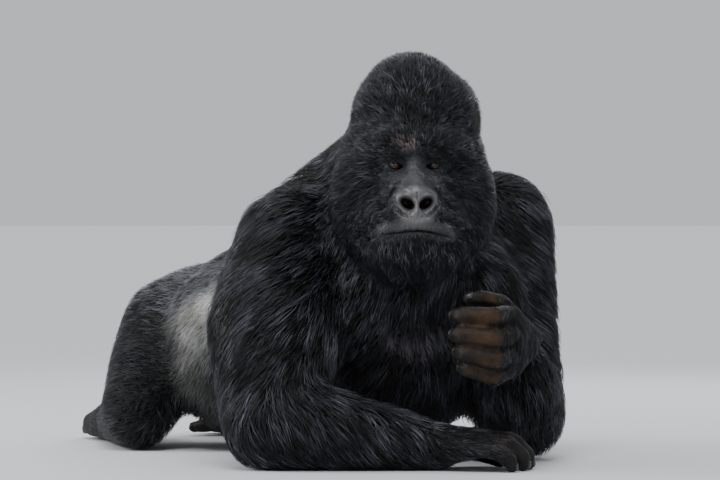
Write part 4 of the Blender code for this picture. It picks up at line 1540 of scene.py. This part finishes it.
def end_finish(tree, colour, surface):
    """Close a material with its shader, from its colour and the other sockets' values."""
    shader = add_node(tree, "ShaderNodeBsdfPrincipled", {"Base Color": colour} | surface)
    add_node(tree, "ShaderNodeOutputMaterial", {"Surface": shader})


def layered(tree, colour, layers):
    """Lay colours over a first one in turn, each as strongly as its own factor says."""
    for factor, tint in layers:
        inputs = {0: factor, 6: colour, 7: tint}
        colour = add_node(tree, "ShaderNodeMix", inputs, data_type="RGBA").outputs[2]
    return colour


def dimmed(tree, colour, *factors):
    """A colour times each of the factors."""
    for factor in factors:
        inputs = {0: colour, "Scale": factor}
        colour = add_node(tree, "ShaderNodeVectorMath", inputs, operation="SCALE").outputs[0]
    return colour


# Patterns, as repeats per metre. The silver's patches are about 45 mm across, worn blotches 22 mm and
# creases 6 mm. Pores are 1.6 mm apart. The skin's own tufts, the eye's fibres, the stubble's tone and
# the nail's growth lines are drawn several times coarser than real ones, which are too fine to show.
SILVER_PATCHES = 22.0
SKIN_BLOTCHES = 45.0
SKIN_CREASES = 170.0
SKIN_PORES = 620.0
SKIN_TUFTS = 400.0
EYE_FIBRES = 900.0
STUBBLE_TONES = 900.0
NAIL_LINES = 260.0
FLOOR_MOTTLE = 1.5
HAIR_IOR = 1.55
SKIN_IOR = 1.45


def marking_colour(tree, look, place, read, tone, black):
    """Black, grizzled or silver, from the animal's markings and each hair's own tone."""
    threshold = add_node(tree, "ShaderNodeMath", {0: read["grizzle"], 1: tone}, operation="ADD")
    pale = {"Value": threshold, "From Min": 0.98, "From Max": 1.12}
    noise = add_node(
        tree, "ShaderNodeTexNoise", {"Vector": place, "Scale": SILVER_PATCHES, "Detail": 3.0}
    )
    patchy = {"Value": noise, "From Min": 0.35, "From Max": 0.65}
    shaded = (add_node(tree, "ShaderNodeMapRange", patchy), rgba(look.silver_shade))
    silver = layered(tree, rgba(look.silver), [shaded])
    grizzled = (add_node(tree, "ShaderNodeMapRange", pale), rgba(look.grizzled))
    return layered(tree, black, [grizzled, (read["silver"], silver)])


def coat_material(name, look, roughness):
    """Mammal guard hair: smooth cuticle scales give a soft satin gloss along each hair."""
    tree, place, read = new_finish(name, ("tone", "along", "dark", "silver", "grizzle"))
    # Each hair's tone differs at random; the brightest few are painted highlights, standing in for light
    # caught along the strands.
    tone_and_highlights = add_node(tree, "ShaderNodeMath", {0: read["tone"], 1: 4.0}, operation="POWER")
    shade = {"Value": tone_and_highlights, "To Min": 0.16, "To Max": 8.6}
    black = dimmed(tree, look.black, add_node(tree, "ShaderNodeMapRange", shade))
    colour = marking_colour(tree, look, place, read, read["tone"], black)
    # Painted shade: each hair darker towards its root, as shade deep in the coat, and darker where the
    # stored dark field paints shade.
    root_shade = {"Value": read["along"], "From Max": 0.7, "To Min": 0.45}
    darkened = {0: read["dark"], 1: -0.72, 2: 1.0}
    factors = (
        add_node(tree, "ShaderNodeMath", darkened, operation="MULTIPLY_ADD"),
        add_node(tree, "ShaderNodeMapRange", root_shade),
    )
    colour = dimmed(tree, colour, *factors)
    end_finish(tree, colour, {"Roughness": roughness, "IOR": HAIR_IOR, "Specular IOR Level": 0.42})


def skin_material(look, coat):
    """Gorilla skin: nearly black, leathery, with fine pores; a moist sheen on the nose."""
    zones = ("chest", "ear", "face", "brow", "lip", "nose", "hollow", "hand")
    stored_values = (*zones, "warm", "dark", "silver", "grizzle")
    tree, place, read = new_finish("dark leathery skin", stored_values)
    creases, blotches, tufts = (
        add_node(tree, "ShaderNodeTexNoise", {"Vector": place, "Scale": scale, "Detail": detail})
        for scale, detail in ((SKIN_CREASES, 5.0), (SKIN_BLOTCHES, 4.0), (SKIN_TUFTS, 2.0))
    )
    creases.inputs["Roughness"].default_value = 0.62
    pores = add_node(tree, "ShaderNodeTexVoronoi", {"Vector": place, "Scale": SKIN_PORES}, feature="F1")
    hairy = marking_colour(tree, coat, place, read, tufts.outputs["Fac"], rgba(coat.black))
    # Worn brown skin on the fingers, partly painted light on their sides facing out and up.
    worn = {"Value": blotches, "From Min": 0.38, "From Max": 0.58, "To Min": 0.25}
    worn = {0: read["warm"], 1: add_node(tree, "ShaderNodeMapRange", worn)}
    layers = [(read[zone], rgba(getattr(look, zone))) for zone in zones]
    layers.append((add_node(tree, "ShaderNodeMath", worn, operation="MULTIPLY"), rgba(look.finger)))
    colour = layered(tree, dimmed(tree, hairy, 0.55), layers)
    # Painted shade: the skin too is darker where the stored dark field paints shade.
    darkened = {0: read["dark"], 1: -0.6, 2: 1.0}
    blotched = {"Value": blotches, "From Min": 0.3, "From Max": 0.7, "To Min": 0.65, "To Max": 1.3}
    factors = (
        add_node(tree, "ShaderNodeMath", darkened, operation="MULTIPLY_ADD"),
        add_node(tree, "ShaderNodeMapRange", blotched),
    )
    moist, gloss = (
        add_node(tree, "ShaderNodeMapRange", {"Value": read["nose"], "To Min": dry, "To Max": wet})
        for dry, wet in ((0.58, 0.25), (0.30, 0.55))
    )
    height = {0: pores.outputs["Distance"], 1: 0.45, 2: creases}
    height = add_node(tree, "ShaderNodeMath", height, operation="MULTIPLY_ADD")
    bump = add_node(tree, "ShaderNodeBump", {"Height": height, "Strength": 0.60, "Distance": 0.0011})
    surface = {"Roughness": moist, "Specular IOR Level": gloss, "Normal": bump, "IOR": SKIN_IOR}
    end_finish(tree, dimmed(tree, colour, *factors), surface)


def eye_material(look):
    """A wet eyeball: dark brown white, amber-brown iris with fine fibres, black pupil, clear gloss."""
    tree, place, read = new_finish("wet eyeball", ("off_axis",))
    fibres = add_node(tree, "ShaderNodeTexNoise", {"Vector": place, "Scale": EYE_FIBRES, "Detail": 3.0})
    iris = layered(tree, rgba(look.iris), [(fibres, rgba(look.iris_rim))])
    rings = (
        (PUPIL_RADIUS, iris),
        (IRIS_RADIUS * 0.86, rgba(srgb("1a0d06"))),
        (IRIS_RADIUS, rgba(look.white)),
    )
    soft = 0.0005
    layers = []
    for radius, tint in rings:
        edge = {"Value": read["off_axis"], "From Min": radius - soft, "From Max": radius + soft}
        layers.append((add_node(tree, "ShaderNodeMapRange", edge), tint))
    surface = {"Roughness": 0.25, "IOR": 1.38, "Specular IOR Level": 0.25}
    surface |= {"Coat Weight": 0.45, "Coat Roughness": 0.04}
    end_finish(tree, layered(tree, rgba(srgb("030202")), layers), surface)


def nail_material(look):
    """Nail horn: dark, smooth, faintly violet, with fine lengthwise growth lines."""
    tree, place, _ = new_finish("horn of the nails")
    lines = add_node(tree, "ShaderNodeTexNoise", {"Vector": place, "Scale": NAIL_LINES, "Detail": 3.0})
    dark = tuple(channel * 0.45 for channel in look.nail)
    colour = layered(tree, rgba(dark), [(lines, rgba(look.nail))])
    bump = add_node(tree, "ShaderNodeBump", {"Height": lines, "Strength": 0.3, "Distance": 0.0004})
    end_finish(tree, colour, {"Roughness": 0.28, "Normal": bump})


def stubble_material(look):
    """Short pale-tipped face hair over dark skin."""
    tree, place, _ = new_finish("short face hair")
    noise = add_node(tree, "ShaderNodeTexNoise", {"Vector": place, "Scale": STUBBLE_TONES, "Detail": 1.0})
    pale = add_node(tree, "ShaderNodeMapRange", {"Value": noise, "From Min": 0.45, "From Max": 0.70})
    colour = layered(tree, rgba(look.black), [(pale, rgba(look.grizzled))])
    end_finish(tree, colour, {"Roughness": 0.45, "IOR": HAIR_IOR})


def studio_material(colour):
    """Matt painted studio floor with a very faint mottle."""
    tree, place, _ = new_finish("matt studio floor")
    noise = add_node(tree, "ShaderNodeTexNoise", {"Vector": place, "Scale": FLOOR_MOTTLE, "Detail": 2.0})
    dim = tuple(channel * 0.97 for channel in colour)
    end_finish(tree, layered(tree, rgba(dim), [(noise, rgba(colour))]), {"Roughness": 0.85})


# ---------------------------------------------------------------- settings, operators and panel


def colour_setting(name, about, hex_colour):
    return FloatVectorProperty(
        name=name, description=about, subtype="COLOR", size=3, min=0, max=1, default=srgb(hex_colour)
    )


def size_setting(name, about, default, least, unit="LENGTH"):
    return FloatProperty(name=name, description=about, default=default, min=least, unit=unit)


class GorillaSkinLook(bpy.types.PropertyGroup):
    face: colour_setting("Face", "Skin of the face", "2b2d32")
    nose: colour_setting("Nose", "Moist skin of the nose", "585759")
    hollow: colour_setting("Hollows", "Skin inside the nostrils and the closed mouth", "21160f")
    lip: colour_setting("Lips", "Skin between nose and mouth, and of the lower lip", "4b4a4b")
    brow: colour_setting("Brow", "Thinly haired skin between the brows", "6f5f5a")
    ear: colour_setting("Ears", "Thin skin of the ears", "2c2929")
    # The chest's grey is lightened as painted light, to lift the bare patch out of the shade under the
    # head and arms.
    chest: colour_setting("Chest", "Nearly bare skin of the breast", "57555b")
    hand: colour_setting("Hand", "Skin of hands and feet", "141210")
    # Worn brown skin, and painted light: only the fingers' sides facing out and up take it.
    finger: colour_setting("Fingers", "Worn skin on the fingers' middles", "35220f")
    nail: colour_setting("Nails", "Horn of the nails", "2b272c")
    fineness: size_setting("Skin mesh spacing", "Voxel size of the skin before thinning", 0.003, 0.002)


class GorillaCoatLook(bpy.types.PropertyGroup):
    black: colour_setting("Black", "Hair of head, arms and shoulders", "1c1d22")
    grizzled: colour_setting("Grizzled", "Pale hairs among the black", "7d8087")
    silver: colour_setting("Silver", "Hair of the silver flank", "fcfcfa")
    silver_shade: colour_setting("Silver shade", "Darker hair of the silver flank", "bcbaae")
    fullness: size_setting("Fullness", "Hairs, as a share of the full coat", 1.0, 0.1, "NONE")
    hair_width: size_setting("Hair width", "Width, as a share of the usual", 1.0, 0.3, "NONE")
    stubble_length: size_setting("Stubble length", "Length of the face's short hairs", 0.0050, 0.001)


class GorillaEyeLook(bpy.types.PropertyGroup):
    iris: colour_setting("Iris", "Iris near the pupil", "3e2813")
    iris_rim: colour_setting("Iris fibres", "Darker fibres of the iris", "1c1008")
    white: colour_setting("White", "The eyeball round the iris, dark brown on this animal", "140b07")


class GorillaStageLook(bpy.types.PropertyGroup):
    floor: colour_setting("Floor", "Plain studio floor", "d5d6d8")
    distance: size_setting("Camera distance", "From the camera to the middle of its view", 8.0, 2.0)
    picture_width: size_setting("View width", "What the camera takes in at that distance", 1.296, 0.3)


class GORILLA_OT_finishes(bpy.types.Operator):
    """Make the materials of skin, coat, eyes, nails and floor"""

    bl_idname = "gorilla.finishes"
    bl_label = "Make finishes"

    def execute(self, context):
        scene = context.scene
        skin_material(scene.gorilla_skin, scene.gorilla_coat)
        for name, roughness in COAT_FINISHES.values():
            coat_material(name, scene.gorilla_coat, roughness)
        stubble_material(scene.gorilla_coat)
        eye_material(scene.gorilla_eye)
        nail_material(scene.gorilla_skin)
        studio_material(scene.gorilla_stage.floor)
        return {"FINISHED"}


class GORILLA_OT_skin(bpy.types.Operator):
    """Make the one skin of the whole animal, with its sculpted face and creased fingers"""

    bl_idname = "gorilla.skin"
    bl_label = "Make skin"

    def execute(self, context):
        make_skin(context.scene.gorilla_skin)
        return {"FINISHED"}


class GORILLA_OT_eyes(bpy.types.Operator):
    """Make both eyeballs"""

    bl_idname = "gorilla.eyes"
    bl_label = "Make eyes"

    def execute(self, context):
        for side in SIDES:
            make_eye(side)
        return {"FINISHED"}


class GORILLA_OT_nails(bpy.types.Operator):
    """Make the nails of both hands"""

    bl_idname = "gorilla.nails"
    bl_label = "Make nails"

    def execute(self, context):
        make_nails()
        return {"FINISHED"}


class GORILLA_OT_coat(bpy.types.Operator):
    """Grow every piece of the coat over the skin, and the face's short hair"""

    bl_idname = "gorilla.coat"
    bl_label = "Grow coat"

    def execute(self, context):
        look = context.scene.gorilla_coat
        skin = bpy.data.objects["skin"]
        surface = Surface(skin)
        owners = stored(skin.data, "owner").round().astype(int)
        pieces = piece_of(surface.places, owners, surface.normals)
        for name in COAT_PIECES:
            grow_piece(surface, name, pieces == name, look)
        grow_stubble(surface, look)
        return {"FINISHED"}


class GORILLA_OT_stage(bpy.types.Operator):
    """Set the plain floor, the soft studio lights and the camera"""

    bl_idname = "gorilla.stage"
    bl_label = "Set stage"

    def execute(self, context):
        set_stage(context.scene.gorilla_stage)
        return {"FINISHED"}


class GORILLA_PT_panel(bpy.types.Panel):
    """Sizes, colours and steps of the gorilla model"""

    bl_label = "Gorilla model"
    bl_idname = "GORILLA_PT_panel"
    bl_space_type = "VIEW_3D"
    bl_region_type = "UI"
    bl_category = "Gorilla"

    def draw(self, context):
        for group, operators in STEPS.items():
            box = self.layout.box()
            settings = getattr(context.scene, group)
            for name in settings.__annotations__:
                box.prop(settings, name)
            for operator in operators:
                box.operator(operator.bl_idname)


STEPS = {
    "gorilla_skin": (GORILLA_OT_finishes, GORILLA_OT_skin, GORILLA_OT_nails),
    "gorilla_eye": (GORILLA_OT_eyes,),
    "gorilla_coat": (GORILLA_OT_coat,),
    "gorilla_stage": (GORILLA_OT_stage,),
}
GROUPS = {
    "gorilla_skin": GorillaSkinLook,
    "gorilla_coat": GorillaCoatLook,
    "gorilla_eye": GorillaEyeLook,
    "gorilla_stage": GorillaStageLook,
}
OPERATORS = [operator for operators in STEPS.values() for operator in operators]


def register():
    for group in (*GROUPS.values(), *OPERATORS, GORILLA_PT_panel):
        bpy.utils.register_class(group)
    for name, group in GROUPS.items():
        setattr(bpy.types.Scene, name, PointerProperty(type=group))


def unregister():
    for name in GROUPS:
        delattr(bpy.types.Scene, name)
    for group in (GORILLA_PT_panel, *reversed(OPERATORS), *GROUPS.values()):
        bpy.utils.unregister_class(group)


# ---------------------------------------------------------------- stage


FLOOR_RADIUS = 40.0
CAMERA_RISE = math.radians(0.8)
VIEW_MIDDLE = (-0.097, 0.080, -0.133)  # from between the eyes, along the camera's own axes
LIT_MIDDLE = Vector((0.0, -0.1, 0.35))
RIM_LIGHTS = {"left rim light": ((-3.0, 1.6, 1.9), 80), "right rim light": ((2.4, 1.9, 2.0), 26)}


def add_light(name, kind, aim, place=(0, 0, 0), **settings):
    """A light at a place, shining the way that it is aimed."""
    light = bpy.data.lights.new(name, kind)
    for key, value in settings.items():
        setattr(light, key, value)
    obj = new_object(name, light)
    obj.location = place
    obj.rotation_euler = aim.to_track_quat("-Z", "Y").to_euler()


def add_lights():
    """Two rim lights behind, and wide soft light from above and from in front."""
    for name, (place, power) in RIM_LIGHTS.items():
        aim = LIT_MIDDLE - Vector(place)
        add_light(name, "AREA", aim, place, shape="DISK", size=1.4, energy=power)
    high = Vector((0.35, 0.45, -1.0))
    fill = GAZE @ Vector((-0.14, 1.0, -0.10))
    add_light("high soft light", "SUN", high, energy=1.7, angle=math.radians(35))
    add_light("fill light in front", "SUN", fill, energy=0.6, angle=math.radians(60))


def set_stage(look):
    scene = bpy.context.scene
    bm = bmesh.new()
    bmesh.ops.create_circle(bm, cap_ends=True, segments=96, radius=FLOOR_RADIUS)
    mesh = mesh_of(bm, "studio_floor")
    mesh.materials.append(bpy.data.materials["matt studio floor"])
    new_object("studio_floor", mesh)
    world = bpy.data.worlds.new("studio")
    world.use_nodes = True
    background = world.node_tree.nodes["Background"]
    background.inputs["Color"].default_value = rgba(srgb("e3e6ea"))
    background.inputs["Strength"].default_value = 0.80
    scene.world = world
    add_lights()
    toward = GAZE @ Vector((0.0, -math.cos(CAMERA_RISE), math.sin(CAMERA_RISE)))
    camera = bpy.data.cameras.new("camera")
    camera.lens = camera.sensor_width * look.distance / look.picture_width
    camera.clip_end = 200.0
    obj = new_object("camera", camera)
    obj.location = EYE_MIDDLE + GAZE @ Vector(VIEW_MIDDLE) + toward * look.distance
    obj.rotation_euler = (-toward).to_track_quat("-Z", "Y").to_euler()
    scene.camera = obj


def main():
    register()
    bpy.ops.gorilla.finishes()
    bpy.ops.gorilla.stage()
    bpy.ops.gorilla.skin()
    bpy.ops.gorilla.eyes()
    bpy.ops.gorilla.nails()
    bpy.ops.gorilla.coat()


if __name__ == "__main__":
    main()
